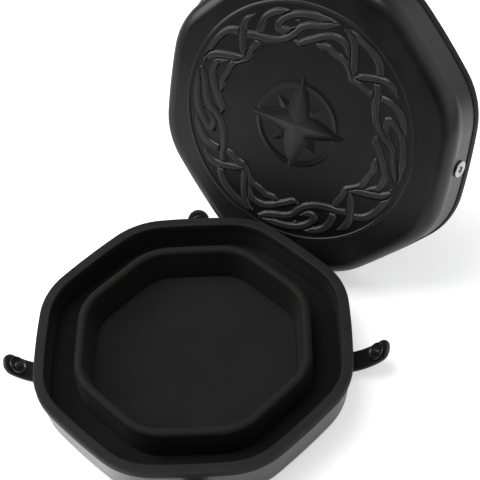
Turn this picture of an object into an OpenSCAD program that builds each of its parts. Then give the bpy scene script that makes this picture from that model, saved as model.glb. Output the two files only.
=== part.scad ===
// An octagonal dice storage chest: a lined tray with a ring-shaped storage channel,
// four snap straps, and a deep embossed lid that stands on edge behind the tray.
// Origin: centre of the base's underside, on the table. +Z up, front flat towards -Y.

/* [Base] */
// Distance across the flats at the rim band
base_width = 240; // [216:1:300]
// Height from the table to the top of the rim
base_height = 50; // [46:1:70]
// Radius of the gentle arc that each flat side follows
flat_radius = 550; // [400:10:1200]
// Radius of the rounded corners at the rim
corner_radius = 59; // [50:1:75]
// Radius of the rounding between the underside and the wall
base_round = 22; // [12:1:22]
// How much narrower each side of the wall is at its foot than at its top
base_draft = 2.5; // [0:0.5:6]
// Thickness of the outer leatherette skin
base_skin = 1; // [0.6:0.1:1.6]
// Thickness of the moulded shell
base_wall = 3.6; // [2:0.1:5]
// Thickness of the soft lining in the channel
lining = 1; // [0.6:0.1:1.6]

/* [Rim bands] */
// Height of the band round the base's rim
base_band_height = 6; // [4:0.5:12]
// Thickness of the base's band outside the wall
base_band = 1.2; // [0.8:0.1:2.5]
// Height of the band round the lid's mouth
lid_band_height = 6; // [3:0.5:10]
// Thickness of the lid's band outside the wall
lid_band = 1.2; // [0.8:0.1:2.5]
// Thickness of both bands inside and over the edge
band_fold = 1.1; // [0.6:0.1:2]

/* [Tray] */
// Depth of the tray floor and channel floor below the rim
tray_depth = 25; // [15:1:25]
// Distance across the flats along the middle of the dividing wall
divider_width = 171.2; // [140:0.2:185]
// Corner radius along the middle of the dividing wall
divider_corner = 39.6; // [30:0.2:60]
// Thickness of the dividing wall at its rounded top
divider_top = 7.8; // [5:0.2:12]
// How much the inner side of the dividing wall spreads at its foot
divider_draft = 3.4; // [0:0.2:6]
// How far the dividing wall stands above the rim
divider_rise = 2; // [0:0.5:5]
// Thickness of the cloth over the dividing wall
divider_cloth = 0.8; // [0.5:0.1:1.5]
// Thickness of the stiff board under the linings
board = 1.2; // [0.8:0.1:3]
// Thickness of the padded floor of the tray
tray_pad_thick = 1.2; // [0.8:0.1:3]

/* [Straps] */
// Width of a strap
strap_width = 18; // [14:0.5:26]
// Thickness of a strap
strap_thick = 2.5; // [1.5:0.1:4]
// Length of a strap along its curve, from its bending line to the tip
strap_length = 43.2; // [34:0.2:60]
// Height of the bending line above the table
strap_root = 7; // [6.8:0.2:14]
// Angle above level at which a strap leaves the wall
strap_start = 5.5; // [0:0.5:50]
// Further angle through which a strap curls up to its tip
strap_curl = 51; // [8:1:60]
// How far the sewn-in end of a strap reaches into the base
strap_tail = 12; // [6:0.5:16]

/* [Snaps] */
// Radius of the snap stud's flange on a strap
stud_radius = 7.4; // [5:0.1:8]
// Radius of the stud's domed post
stud_post = 2.1; // [1.5:0.1:2.2]
// Height of the stud's domed post above the strap
stud_rise = 2.8; // [2:0.1:4]
// Radius of the cap on the other face of the strap
cap_radius = 6.4; // [5:0.1:8]
// Radius of the steel snap socket on the lid
socket_radius = 6.8; // [5:0.1:9]
// Thickness of the snap socket
socket_thick = 1.5; // [1:0.1:3]
// Radius of the rivets' shanks
rivet_radius = 1.2; // [0.8:0.1:1.3]
// Radius of the rivet heads inside the lid
rivet_head = 4.2; // [3:0.1:7]
// Height of the snap sockets above the lid's mouth
socket_height = 16; // [12:0.1:18]

/* [Lid] */
// Outer height of the lid from its mouth to its top
lid_depth = 36.5; // [34:0.5:60]
// Gap all round between the base's rim and the closed lid
lid_gap = 0.6; // [0.3:0.1:2]
// How far the closed lid comes down over the base
lid_overlap = 24; // [12:0.5:24]
// Draft of the lid's wall in degrees
lid_draft = 10; // [3:0.5:12]
// Radius of the lid's shoulder
lid_round = 12.5; // [6:0.5:12.5]
// Thickness of the lid's leatherette skin
lid_skin = 0.8; // [0.5:0.1:1.4]
// Thickness of the lid's moulded shell
lid_wall = 1; // [0.8:0.1:3]
// Thickness of the lid's lining
lid_lining_thick = 0.4; // [0.3:0.1:1]
// Radius of the raised ring on the lid
ring_radius = 96.8; // [80:0.2:98]
// Width of the raised ring
ring_width = 2.6; // [1:0.2:5]
// Height of the raised ring
ring_rise = 0.9; // [0.4:0.1:2]

/* [Where the lid stands] */
// Distance of the standing lid behind the base's corner
lid_stand_off = 22.23; // [21:0.01:120]
// How far the lid stands to the right of the line that faces the base
lid_aside = 8.46; // [-20:0.01:40]
// Heading of the lid's outer face, seen from above
lid_heading = -119.9; // [-130:0.1:-90]
// How far the lid leans back from upright
lid_lean = 21.1; // [10:0.1:35]

/* [Hidden] */

glue = 0.1;             // glue line between layers
play = 0.3;             // room between a piece that moves and what carries it
snap_inset = 3.3;       // from the middle of a strap's round tip back to its snap
steps_flat = 2;         // chords along a flat side
steps_corner = 5;       // chords round a corner
steps_round = 5;        // chords up a rounding
edge = 0.8;             // small rounding at the edge of a band
sides = 8;              // sides of the octagon
sector = 360 / sides;

// Where each strap sits: its name is the side of the base that it closes
FRONT = -90;
RIGHT = 0;
BACK = 90;
LEFT = 180;
headings = [FRONT, RIGHT, BACK, LEFT];

black = "#1b1b1c";
charcoal = "#2c2c2d";
suede = "#252423";
foam = "#3a3a3c";
card = "#6b6257";
steel = "#c3c5c8";

// ---- Outlines: a regular octagon with bulging flats and round corners -------------
// A family is [half width, flat radius, corner radius]; any other half width in the
// same family is its true parallel, so layers nest with an even gap.

base_family = [base_width / 2, flat_radius, corner_radius];
divider_family = [divider_width / 2, 2000, divider_corner];

function flat_centre(f) = f[1] - f[0];
function corner_centre(f) =
    let (k = flat_centre(f), a = k * cos(sector / 2))
    sqrt(a * a - k * k + pow(f[1] - f[2], 2)) - a;
function tangent_angle(f) =
    let (c = corner_centre(f))
    atan2(c * sin(sector / 2), c * cos(sector / 2) + flat_centre(f));

// The outline of half width h in family f, as points round from the +X flat
function outline(f, h) =
    let (
        k = flat_centre(f), c = corner_centre(f), a = tangent_angle(f),
        r_flat = f[1] - f[0] + h, r_corner = max(2, f[2] - f[0] + h),
        turn = (sector - 2 * a) / steps_corner
    )
    [
        for (i = [0 : sides - 1]) each [
            for (j = [0 : steps_flat - 1])
                let (p = -a + j * 2 * a / steps_flat, q = i * sector)
                [r_flat * cos(p + q) - k * cos(q), r_flat * sin(p + q) - k * sin(q)],
            for (j = [0 : steps_corner - 1])
                let (p = i * sector + a + j * turn, q = (i + 0.5) * sector)
                [c * cos(q) + r_corner * cos(p), c * sin(q) + r_corner * sin(p)],
        ]
    ];

function ring(f, h, z) = [for (p = outline(f, h)) [p[0], p[1], z]];
function rings(f, profile) = [for (p = profile) ring(f, p[0], p[1])];
function reversed(list) = [for (i = [len(list) - 1 : -1 : 0]) list[i]];

// ---- Lofted solids ----------------------------------------------------------------

function band_faces(n, a, b) = [
    for (j = [0 : n - 1]) each
        let (k = (j + 1) % n)
        [[a * n + j, b * n + j, b * n + k], [a * n + j, b * n + k, a * n + k]]
];

// A solid through a stack of rings, closed flat at both ends
module loft(stack) {
    n = len(stack[0]);
    last = len(stack) - 1;
    polyhedron(
        [for (r = stack) each r],
        concat(
            [for (i = [0 : last - 1]) each band_faces(n, i, i + 1)],
            [[for (j = [0 : n - 1]) j]],
            [[for (j = [n - 1 : -1 : 0]) last * n + j]]
        )
    );
}

// A solid hoop whose section is the closed run of rings
module hoop(stack) {
    n = len(stack[0]);
    m = len(stack);
    polyhedron(
        [for (r = stack) each r],
        [for (i = [0 : m - 1]) each band_faces(n, i, (i + 1) % m)]
    );
}

module plate(f, h, low, high) {
    translate([0, 0, low]) linear_extrude(high - low) polygon(outline(f, h));
}

// ---- The base's wall --------------------------------------------------------------

wall_top = base_width / 2 - base_band;            // half width of the skin at the rim
wall_foot = wall_top - base_draft;                // half width where the rounding starts
round_centre = wall_foot - base_round;
edge_top = base_height - band_fold - glue;        // where the layers of the wall end
band_low = base_height - base_band_height;
shell_in = base_skin + glue;                      // depth of each layer below the skin
inner_in = shell_in + base_wall + glue;
lining_in = inner_in + lining;

function wall_at(z) =
    wall_foot + base_draft * (z - base_round) / (band_low - base_round);

// The wall's section at depth d under the skin, from the underside to height top
function base_section(d, top) = [
    for (i = [0 : steps_round])
        let (a = 90 * i / steps_round, r = base_round - d)
        [round_centre + r * sin(a), base_round - r * cos(a)],
    if (top > band_low) [wall_top - d, band_low],
    [min(wall_top, wall_at(top)) - d, top],
];

module base_layer(outer, inner) {
    loft(rings(base_family, concat(
        base_section(outer, edge_top),
        reversed(base_section(inner, edge_top))
    )));
}

module each_side() {
    for (a = headings) rotate([0, 0, a]) children();
}

module strap_slits() {
    each_side() strap_tail_block(glue);
}

module base_skin_cover() {
    color(black) difference() {
        base_layer(0, base_skin);
        strap_slits();
    }
}

module base_shell() {
    color(foam) difference() {
        base_layer(shell_in, shell_in + base_wall);
        strap_slits();
    }
}

module base_rim_band() {
    out = base_width / 2;
    in = wall_top - lining_in - glue - band_fold;
    color(charcoal) hoop(rings(base_family, [
        [wall_top + glue, band_low],
        [out - edge / 2, band_low],
        [out, band_low + edge / 2],
        [out, base_height - 2 * edge],
        [out - edge, base_height - edge / 2],
        [out - 3 * edge, base_height],
        [in + 3 * edge, base_height],
        [in + edge, base_height - edge / 2],
        [in, base_height - 2 * edge],
        [in, band_low],
        [in + band_fold, band_low],
        [in + band_fold, edge_top + glue],
        [wall_top + glue, edge_top + glue],
    ]));
}

// ---- Inside the base --------------------------------------------------------------

floor_top = base_height - tray_depth;             // top of the channel's lining
board_top = floor_top - lining - glue;
board_low = board_top - board;

module underfloor_foam() {
    top = board_low - glue;
    section = base_section(inner_in, edge_top);
    color(foam) difference() {
        loft(rings(base_family, [
            for (p = section) if (p[1] < top) p,
            [wall_at(top) - inner_in, top],
        ]));
        strap_slits();
    }
}

module floor_board() {
    color(card) plate(base_family, wall_at(board_low) - inner_in, board_low, board_top);
}

divider_half = divider_width / 2;
divider_out = divider_half + divider_top / 2;
divider_in = divider_half - divider_top / 2;
divider_peak = base_height + divider_rise;

module channel_lining() {
    low = board_top + glue;
    wall_low = wall_at(low) - inner_in;
    fillet = 2 * edge;
    color(suede) hoop(concat(
        rings(base_family, [
            [wall_low, low],
            [wall_top - inner_in, band_low],
            [wall_top - inner_in, edge_top],
            [wall_top - lining_in, edge_top],
            [wall_top - lining_in, band_low],
            [wall_low - lining, low + lining + fillet],
            [wall_low - lining - fillet, low + lining],
        ]),
        rings(divider_family, [
            [divider_out + glue, low + lining],
            [divider_out + glue, low],
        ])
    ));
}

// The dividing wall's section, d inside its cloth: up the outside, over, down the inside
function divider_section(d) =
    let (
        r = divider_top / 2 - d, low = board_top + glue,
        shoulder = divider_peak - divider_top / 2
    )
    [
        [divider_out - d, low],
        [divider_out - d, shoulder],
        for (i = [1 : 2 * steps_round - 1])
            let (a = 90 * i / steps_round)
            [divider_half + r * cos(a), shoulder + r * sin(a)],
        [divider_in + d, shoulder],
        [divider_in - divider_draft + d, low + 2 * edge],
        [divider_in - divider_draft + d, low],
    ];

module divider_core() {
    color(foam) hoop(rings(divider_family, divider_section(divider_cloth + glue)));
}

module divider_cloth_cover() {
    color(suede) hoop(rings(divider_family, concat(
        divider_section(0),
        reversed(divider_section(divider_cloth))
    )));
}

module tray_floor_pad() {
    low = board_top + glue;
    color(suede)
        plate(divider_family, divider_in - divider_draft - glue, low, low + tray_pad_thick);
}

// ---- Straps and their snaps, built along +X from the bending line ------------------

// The bending line clears the rounding of the wall by the strap's rolled root and the play
root_radius = strap_thick / 2 + glue;
root_reach = base_round + root_radius + play;
root_x = round_centre + sqrt(pow(root_reach, 2) - pow(base_round - strap_root, 2));
bend_radius = strap_length / strap_curl * 180 / PI;
snap_station = strap_length - strap_width / 2 - snap_inset;
snap_angle = strap_start + snap_station / bend_radius * 180 / PI;
// How far the curled strap's upper face rises to the edge of the flat stud on it
stud_bow = bend_radius - strap_thick / 2
    - sqrt(pow(bend_radius - strap_thick / 2, 2) - pow(stud_radius, 2));

module strap_tail_block(room) {
    reach = root_x - root_radius - play;
    translate([
        reach - strap_tail - room,
        -strap_width / 2 - room,
        strap_root - strap_thick / 2 - room,
    ])
        cube([strap_tail + 2 * room, strap_width + 2 * room, strap_thick + 2 * room]);
}

module strap_tails() {
    color(black) each_side() strap_tail_block(0);
}

// Moves a piece to the strap's bending line; its own +X then leaves the wall
module on_side(heading) {
    rotate([0, 0, heading]) translate([root_x, 0, strap_root]) children();
}

// Moves a piece to the snap's place, its own +Z out of the strap's upper face
module at_snap() {
    centre = [-bend_radius * sin(strap_start), bend_radius * cos(strap_start)];
    x = centre[0] + bend_radius * sin(snap_angle);
    z = centre[1] - bend_radius * cos(snap_angle);
    translate([x, 0, z]) rotate([0, -snap_angle, 0]) children();
}

// The strap's curved section with its rolled root, a little longer than the strap
module strap_section() {
    start = strap_start - 90;
    finish = start + strap_curl * 1.05;
    far = 1.2 * bend_radius;
    union() {
        circle(root_radius, $fn = 48);
        translate([-bend_radius * sin(strap_start), bend_radius * cos(strap_start)])
            intersection() {
                difference() {
                    circle(bend_radius + strap_thick / 2, $fn = 360);
                    circle(bend_radius - strap_thick / 2, $fn = 360);
                }
                polygon([
                    [0, 0],
                    [far * cos(start), far * sin(start)],
                    [far * cos(finish), far * sin(finish)],
                ]);
            }
    }
}

module strap(heading) {
    tall = strap_length;
    color(black) on_side(heading) difference() {
        intersection() {
            rotate([90, 0, 0])
                linear_extrude(1.2 * strap_width, center = true) strap_section();
            at_snap() linear_extrude(tall, center = true) union() {
                circle(d = strap_width, $fn = 96);
                translate([-2 * tall, -strap_width / 2]) square([2 * tall, strap_width]);
            }
        }
        at_snap() cylinder(h = 4 * strap_thick, r = rivet_radius + glue, center = true, $fn = 32);
    }
}

module snap_stud(heading) {
    seat = strap_thick / 2 + stud_bow + glue;
    dish = 0.6;
    lip = 1.5;
    color(black) on_side(heading) at_snap() translate([0, 0, seat])
        rotate_extrude($fn = 72) difference() {
            union() {
                square([stud_radius, dish]);
                translate([stud_radius - lip, 0]) square([lip - dish, 2 * dish]);
                translate([stud_radius - dish, dish]) circle(dish, $fn = 32);
                square([stud_post, stud_rise - stud_post / 2]);
                intersection() {
                    translate([0, stud_rise - stud_post]) circle(stud_post, $fn = 48);
                    translate([0, dish]) square([stud_post, stud_rise]);
                }
            }
            translate([-stud_radius, -stud_radius]) square([stud_radius, 4 * stud_radius]);
            translate([0, -1]) square([rivet_radius + glue, 1 + stud_rise / 2 + glue]);
        }
}

module snap_cap(heading) {
    seat = strap_thick / 2 + glue;
    thick = 0.9;
    dome = 24;
    color(black) on_side(heading) at_snap() rotate([180, 0, 0])
        rotate_extrude($fn = 72) union() {
            intersection() {
                translate([0, seat]) square([cap_radius, 2 * thick]);
                translate([0, seat + 2 * thick - dome]) circle(dome, $fn = 180);
            }
            translate([0, -seat - stud_rise / 2])
                square([rivet_radius, 2 * seat + stud_rise / 2]);
        }
}

// ---- The lid, built with its mouth on Z = 0 and its top upwards --------------------

lid_layers = lid_skin + lid_wall + lid_lining_thick + 2 * glue;
lid_slope = tan(lid_draft);
// The lining's face is lid_gap outside the rim where the closed lid's overlap ends
lid_wall_mouth = base_width / 2 + lid_gap + lid_layers + lid_overlap * lid_slope;
lid_shoulder = lid_depth - lid_round;
lid_shoulder_half = lid_wall_mouth - lid_shoulder * lid_slope;
lid_half = lid_wall_mouth + lid_band;
lid_edge_low = band_fold + glue;
lid_shell_in = lid_skin + glue;
lid_lining_in = lid_shell_in + lid_wall + glue;

function lid_at(z) = lid_wall_mouth - z * lid_slope;

// The lid's section at depth d under its skin, from the mouth to the flat top
function lid_section(d) = [
    [lid_at(lid_edge_low) - d, lid_edge_low],
    for (i = [0 : steps_round])
        let (a = 90 * i / steps_round, r = lid_round - d)
        [lid_shoulder_half - lid_round + r * cos(a), lid_shoulder + r * sin(a)],
];

// The layer between two depths: down the inside, over the mouth's edge, up the outside
module lid_layer(outer, inner) {
    loft(rings(base_family, concat(reversed(lid_section(inner)), lid_section(outer))));
}

// Stands the lid on the band's edge, leaning back, with its outer face on its heading
// The lid keeps its distance from the base's corner when the base grows, and so does its
// foot, which a larger lid that leans back has nearer to the base
module stood_up() {
    rise = lid_half * cos(lid_lean) - edge * sin(lid_lean);
    away = (1 / cos(22.5) + sin(lid_lean)) * base_width / 2 + lid_stand_off;
    back = [-cos(lid_heading), -sin(lid_heading)];
    x = away * back[0] + lid_aside * back[1];
    y = away * back[1] - lid_aside * back[0];
    translate([x, y, rise])
        rotate([90 - lid_lean, 0, lid_heading + 90])
            children();
}

// Moves a piece to a snap socket's place on the lid's wall, its own +Z outwards
module at_socket(heading) {
    rotate([0, 0, heading])
        translate([lid_at(socket_height), 0, socket_height])
            rotate([0, 90 - lid_draft, 0])
                children();
}

module rivet_holes() {
    for (a = headings) at_socket(a)
        cylinder(h = 8 * lid_layers, r = rivet_radius + glue, center = true, $fn = 32);
}

// A ring pressed up in the lid's skin, with a section that is part of a circle
module raised_ring() {
    r = (pow(ring_width / 2, 2) + pow(ring_rise, 2)) / (2 * ring_rise);
    translate([0, 0, lid_depth])
        rotate_extrude($fn = 144)
            intersection() {
                translate([ring_radius, ring_rise - r]) circle(r, $fn = 48);
                translate([ring_radius - r, -lid_skin / 2]) square([2 * r, lid_skin + ring_rise]);
            }
}

module lid_skin_cover() {
    color(black) stood_up() union() {
        difference() {
            lid_layer(0, lid_skin);
            rivet_holes();
        }
        raised_ring();
    }
}

module lid_shell() {
    color(foam) stood_up() difference() {
        lid_layer(lid_shell_in, lid_shell_in + lid_wall);
        rivet_holes();
    }
}

module lid_lining() {
    color(suede) stood_up() difference() {
        lid_layer(lid_lining_in, lid_layers);
        rivet_holes();
    }
}

module lid_mouth_band() {
    out = lid_half;
    skin_low = lid_wall_mouth + glue;
    inner_low = lid_at(lid_edge_low) - lid_layers - glue;
    inner_high = lid_at(lid_band_height) - lid_layers - glue;
    color(charcoal) stood_up() hoop(rings(base_family, [
        [inner_low, lid_edge_low - glue],
        [inner_high, lid_band_height],
        [inner_high - band_fold, lid_band_height],
        [inner_low - band_fold, edge],
        [inner_low - band_fold + edge, 0],
        [out - edge, 0],
        [out, edge],
        [out, lid_band_height - edge / 2],
        [out - edge / 2, lid_band_height],
        [skin_low, lid_band_height],
        [skin_low, lid_edge_low - glue],
    ]));
}

module lid_snap_sockets() {
    hole = stud_post + glue;
    color(steel) stood_up() for (a = headings) at_socket(a)
        translate([0, 0, play])
            rotate_extrude($fn = 72) difference() {
                union() {
                    square([socket_radius, socket_thick / 2]);
                    square([socket_radius - socket_thick / 2, socket_thick]);
                    translate([socket_radius - socket_thick / 2, socket_thick / 2])
                        circle(socket_thick / 2, $fn = 32);
                }
                translate([-socket_radius, -1]) square([socket_radius, 3 + socket_thick]);
                translate([0, -1]) square([hole, 3 + socket_thick]);
            }
}

module lid_snap_rivets() {
    thick = 0.6;
    lining_face = lid_layers + play;
    color(steel) stood_up() for (a = headings) at_socket(a) {
        translate([0, 0, -lining_face - thick])
            cylinder(h = thick, r = rivet_head, $fn = 64);
        translate([0, 0, -lining_face - thick])
            cylinder(h = lining_face + thick + play + socket_thick / 2, r = rivet_radius, $fn = 32);
    }
}

base_skin_cover();
base_shell();
base_rim_band();
underfloor_foam();
floor_board();
channel_lining();
divider_core();
divider_cloth_cover();
tray_floor_pad();
strap_tails();
strap(FRONT);  // strap_front
strap(RIGHT);  // strap_right
strap(BACK);  // strap_back
strap(LEFT);  // strap_left
snap_stud(FRONT);  // snap_stud_front
snap_stud(RIGHT);  // snap_stud_right
snap_stud(BACK);  // snap_stud_back
snap_stud(LEFT);  // snap_stud_left
snap_cap(FRONT);  // snap_cap_front
snap_cap(RIGHT);  // snap_cap_right
snap_cap(BACK);  // snap_cap_back
snap_cap(LEFT);  // snap_cap_left
lid_skin_cover();
lid_shell();
lid_lining();
lid_mouth_band();
lid_snap_sockets();
lid_snap_rivets();
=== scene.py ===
"""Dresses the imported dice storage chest: leatherette case, straps, snaps and embossed lid."""

from __future__ import annotations

import logging
import math
from dataclasses import dataclass, field
from enum import Enum
from typing import Any, Sequence

import bmesh
import bpy
import numpy as np
from mathutils import Matrix, Vector

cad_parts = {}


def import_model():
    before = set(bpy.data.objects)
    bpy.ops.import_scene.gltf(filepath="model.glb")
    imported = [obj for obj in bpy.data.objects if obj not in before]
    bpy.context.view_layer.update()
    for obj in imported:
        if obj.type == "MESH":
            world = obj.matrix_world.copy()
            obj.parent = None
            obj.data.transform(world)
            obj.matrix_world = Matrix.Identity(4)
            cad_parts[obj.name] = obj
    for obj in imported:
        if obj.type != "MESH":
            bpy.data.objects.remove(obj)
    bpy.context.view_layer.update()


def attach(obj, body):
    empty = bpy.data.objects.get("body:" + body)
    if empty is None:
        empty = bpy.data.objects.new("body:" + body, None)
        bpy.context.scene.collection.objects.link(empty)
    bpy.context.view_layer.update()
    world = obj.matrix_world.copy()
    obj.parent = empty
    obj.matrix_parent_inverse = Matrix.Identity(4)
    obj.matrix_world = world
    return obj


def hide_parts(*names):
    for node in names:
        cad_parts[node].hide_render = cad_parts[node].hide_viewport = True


LOG = logging.getLogger("chest")
MM = 0.001
SIDES = 8
SECTOR = 2 * math.pi / SIDES
# An edge stays crisp where it folds by more degrees than these.
CRISP, FOLDED, BLUNT = 40.0, 50.0, 60.0
# Points nearer than WELD metres become one, and edges shorter than SLIVER metres go.
WELD, SLIVER = 2e-6, 1e-7
# A radius or a step in millimetres that counts as none.
NONE = 1e-6
Colour = tuple[float, float, float]
Place = tuple[float, float, float]
Corner = tuple[float, float, float]
Point = tuple[float, float]


class Side(Enum):
    """The side of the base that a strap closes; the value is its heading in degrees."""

    FRONT = -90.0
    RIGHT = 0.0
    BACK = 90.0
    LEFT = 180.0

    @property
    def word(self) -> str:
        """Returns the side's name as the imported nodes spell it."""
        return self.name.lower()


# ---- Meshes -----------------------------------------------------------------------------


def smoothstep(low: float, high: float, x: np.ndarray) -> np.ndarray:
    """Returns 0 below low, 1 above high, and a smooth rise between them."""
    t = np.clip((x - low) / (high - low), 0.0, 1.0)
    return t * t * (3.0 - 2.0 * t)


def add_object(name: str, data: bpy.types.ID) -> bpy.types.Object:
    """Puts data in the scene.

    Args:
        name: The object's name.
        data: Its mesh, light or camera.

    Returns:
        The new object, at the origin.
    """
    piece = bpy.data.objects.new(name, data)
    bpy.context.scene.collection.objects.link(piece)
    return piece


def settled(piece: bpy.types.Object) -> bpy.types.Mesh:
    """Returns a plain mesh of what a piece's modifiers make of it."""
    bpy.context.view_layer.update()
    return bpy.data.meshes.new_from_object(piece.evaluated_get(bpy.context.evaluated_depsgraph_get()))


def smooth(mesh: bpy.types.Mesh, sharp: float) -> None:
    """Shades a mesh smooth, and keeps crisp what folds by more than sharp degrees."""
    mesh.shade_smooth()
    mesh.set_sharp_from_angle(angle=math.radians(sharp))


def make_object(
    name: str,
    points: np.ndarray,
    faces: Sequence[Sequence[int]],
    sharp: float = CRISP,
    wear: np.ndarray | None = None,
) -> bpy.types.Object:
    """Makes a smooth-shaded object from points in millimetres.

    Args:
        name: The object's name.
        points: One row for each vertex, in millimetres, in the row's frame.
        faces: Vertex numbers of each face, anticlockwise from outside.
        sharp: Edges that fold by more than this many degrees stay crisp.
        wear: Optional value from 0 to 1 for each vertex, kept as attribute "wear".

    Returns:
        The new object, linked to the scene, at the origin.
    """
    mesh = bpy.data.meshes.new(name)
    mesh.from_pydata((np.asarray(points, dtype=float) * MM).tolist(), [], faces)
    mesh.update()
    if wear is not None:
        layer = mesh.attributes.new("wear", "FLOAT", "POINT")
        layer.data.foreach_set("value", np.asarray(wear, dtype=np.float32))
    smooth(mesh, sharp)
    return add_object(name, mesh)


def strip_faces(count: int, a: int, b: int) -> list[tuple[int, int, int, int]]:
    """Returns the quads between ring a and ring b, each of count points."""
    turn = [(j, (j + 1) % count) for j in range(count)]
    return [(a * count + j, a * count + k, b * count + k, b * count + j) for j, k in turn]


def loft(
    name: str,
    rings: Sequence[np.ndarray],
    wear: Sequence[float] | None = None,
    closed: bool = False,
    sharp: float = CRISP,
) -> bpy.types.Object:
    """Skins a stack of rings, either capped at both ends or closed on itself as a hoop.

    Args:
        name: The object's name.
        rings: Rings of equal length, going up the outside and down the inside.
        wear: Optional wear for each ring.
        closed: True for a hoop, whose last ring joins its first.
        sharp: Fold in degrees past which an edge stays crisp.

    Returns:
        The skinned object.
    """
    count, last = len(rings[0]), len(rings) - 1
    faces: list[Sequence[int]] = []
    for i in range(last):
        faces += strip_faces(count, i, i + 1)
    if closed:
        faces += strip_faces(count, last, 0)
    else:
        faces.append(tuple(reversed(range(count))))
        faces.append(tuple(range(last * count, (last + 1) * count)))
    worn_and_lit = None if wear is None else np.repeat(np.asarray(wear, dtype=float), count)
    return make_object(name, np.vstack(rings), faces, sharp, worn_and_lit)


def revolve(name: str, profile: Sequence[Point], steps: int = 64) -> tuple[np.ndarray, list[Sequence[int]]]:
    """Turns a profile of (radius, height) about +Z; ends on the axis become poles.

    Args:
        name: Used in the message if the profile is too short.
        profile: Points from the lower end to the upper end, seen from outside.
        steps: Points round each ring.

    Returns:
        The points in millimetres and the faces.
    """
    if len(profile) < 3:
        raise ValueError(f"{name} needs at least three profile points")
    points: list[Place] = []
    rows: list[list[int]] = []
    for radius, height in profile:
        if radius < NONE:
            rows.append([len(points)])
            points.append((0.0, 0.0, height))
            continue
        rows.append(list(range(len(points), len(points) + steps)))
        for k in range(steps):
            angle = 2 * math.pi * k / steps
            points.append((radius * math.cos(angle), radius * math.sin(angle), height))
    faces: list[Sequence[int]] = []
    pairs = list(zip(rows, rows[1:] + rows[:1]))
    if len(rows[0]) == 1 or len(rows[-1]) == 1:
        pairs = pairs[:-1]
    for low, high in pairs:
        for k in range(steps):
            m = (k + 1) % steps
            if len(low) == 1:
                faces.append((low[0], high[m], high[k]))
            elif len(high) == 1:
                faces.append((low[k], low[m], high[0]))
            else:
                faces.append((low[k], low[m], high[m], high[k]))
    return np.array(points), faces


class QuadMesh:
    """Gathers patches of quads that share their borders, and closes them into one mesh."""

    def __init__(self) -> None:
        """Starts empty."""
        self.points: list[np.ndarray] = []
        self.faces: list[Sequence[int]] = []
        self.wear: list[np.ndarray] = []

    def _take(self, points: np.ndarray, wear: Any) -> int:
        """Keeps the points of a patch.

        Args:
            points: The points.
            wear: The wear of each, or of all.

        Returns:
            The number of the first.
        """
        first = sum(len(p) for p in self.points)
        self.points.append(points)
        self.wear.append(np.broadcast_to(np.asarray(wear, dtype=float), (len(points),)))
        return first

    def grid(self, rows: Sequence[np.ndarray], wear: Sequence[np.ndarray]) -> None:
        """Adds a patch.

        Args:
            rows: Rows of points of equal length.
            wear: The wear of each point of each row.
        """
        first = self._take(np.vstack(rows), np.concatenate(wear))
        m = len(rows[0])
        for i in range(len(rows) - 1):
            for a in range(first + i * m, first + i * m + m - 1):
                self.faces.append((a, a + 1, a + m + 1, a + m))

    def fan(self, loop: np.ndarray, wear: float) -> None:
        """Adds one flat face round a loop of points."""
        first = self._take(loop, wear)
        self.faces.append(tuple(range(first, first + len(loop))))

    def finish(self, name: str, sharp: float) -> bpy.types.Object:
        """Welds the patches and turns every face outwards.

        Args:
            name: The object's name.
            sharp: Fold in degrees past which an edge stays crisp.

        Returns:
            The closed piece.
        """
        piece = make_object(name, np.vstack(self.points), self.faces, sharp, np.concatenate(self.wear))
        shape = bmesh.new()
        shape.from_mesh(piece.data)
        bmesh.ops.remove_doubles(shape, verts=shape.verts, dist=WELD)
        bmesh.ops.dissolve_degenerate(shape, edges=shape.edges, dist=SLIVER)
        bmesh.ops.recalc_face_normals(shape, faces=shape.faces)
        shape.to_mesh(piece.data)
        shape.free()
        smooth(piece.data, sharp)
        return piece


def rounded(profile: Sequence[Corner], steps: int = 6) -> list[Point]:
    """Rounds the corners of a closed profile.

    Args:
        profile: (across, up, radius) of each corner in order; radius 0 stays sharp.
        steps: Chords in each rounding.

    Returns:
        The profile's points.
    """
    out: list[Point] = []
    count = len(profile)
    for i, (x, y, radius) in enumerate(profile):
        here = np.array([x, y])
        before = np.array(profile[i - 1][:2]) - here
        after = np.array(profile[(i + 1) % count][:2]) - here
        if radius <= 0:
            out.append((x, y))
            continue
        to_a, to_b = before / np.linalg.norm(before), after / np.linalg.norm(after)
        half = math.acos(float(np.clip(to_a @ to_b, -1, 1))) / 2
        shorter = min(np.linalg.norm(before), np.linalg.norm(after))
        reach = min(radius / math.tan(half), 0.49 * shorter)
        arc = reach * math.tan(half)
        middle = here + (to_a + to_b) / np.linalg.norm(to_a + to_b) * arc / math.sin(half)
        first, last = here + to_a * reach - middle, here + to_b * reach - middle
        sweep = math.pi - 2 * half
        for k in range(steps + 1):
            t = k / steps
            p = (math.sin((1 - t) * sweep) * first + math.sin(t * sweep) * last) / math.sin(sweep)
            out.append((float(middle[0] + p[0]), float(middle[1] + p[1])))
    return out


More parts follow.
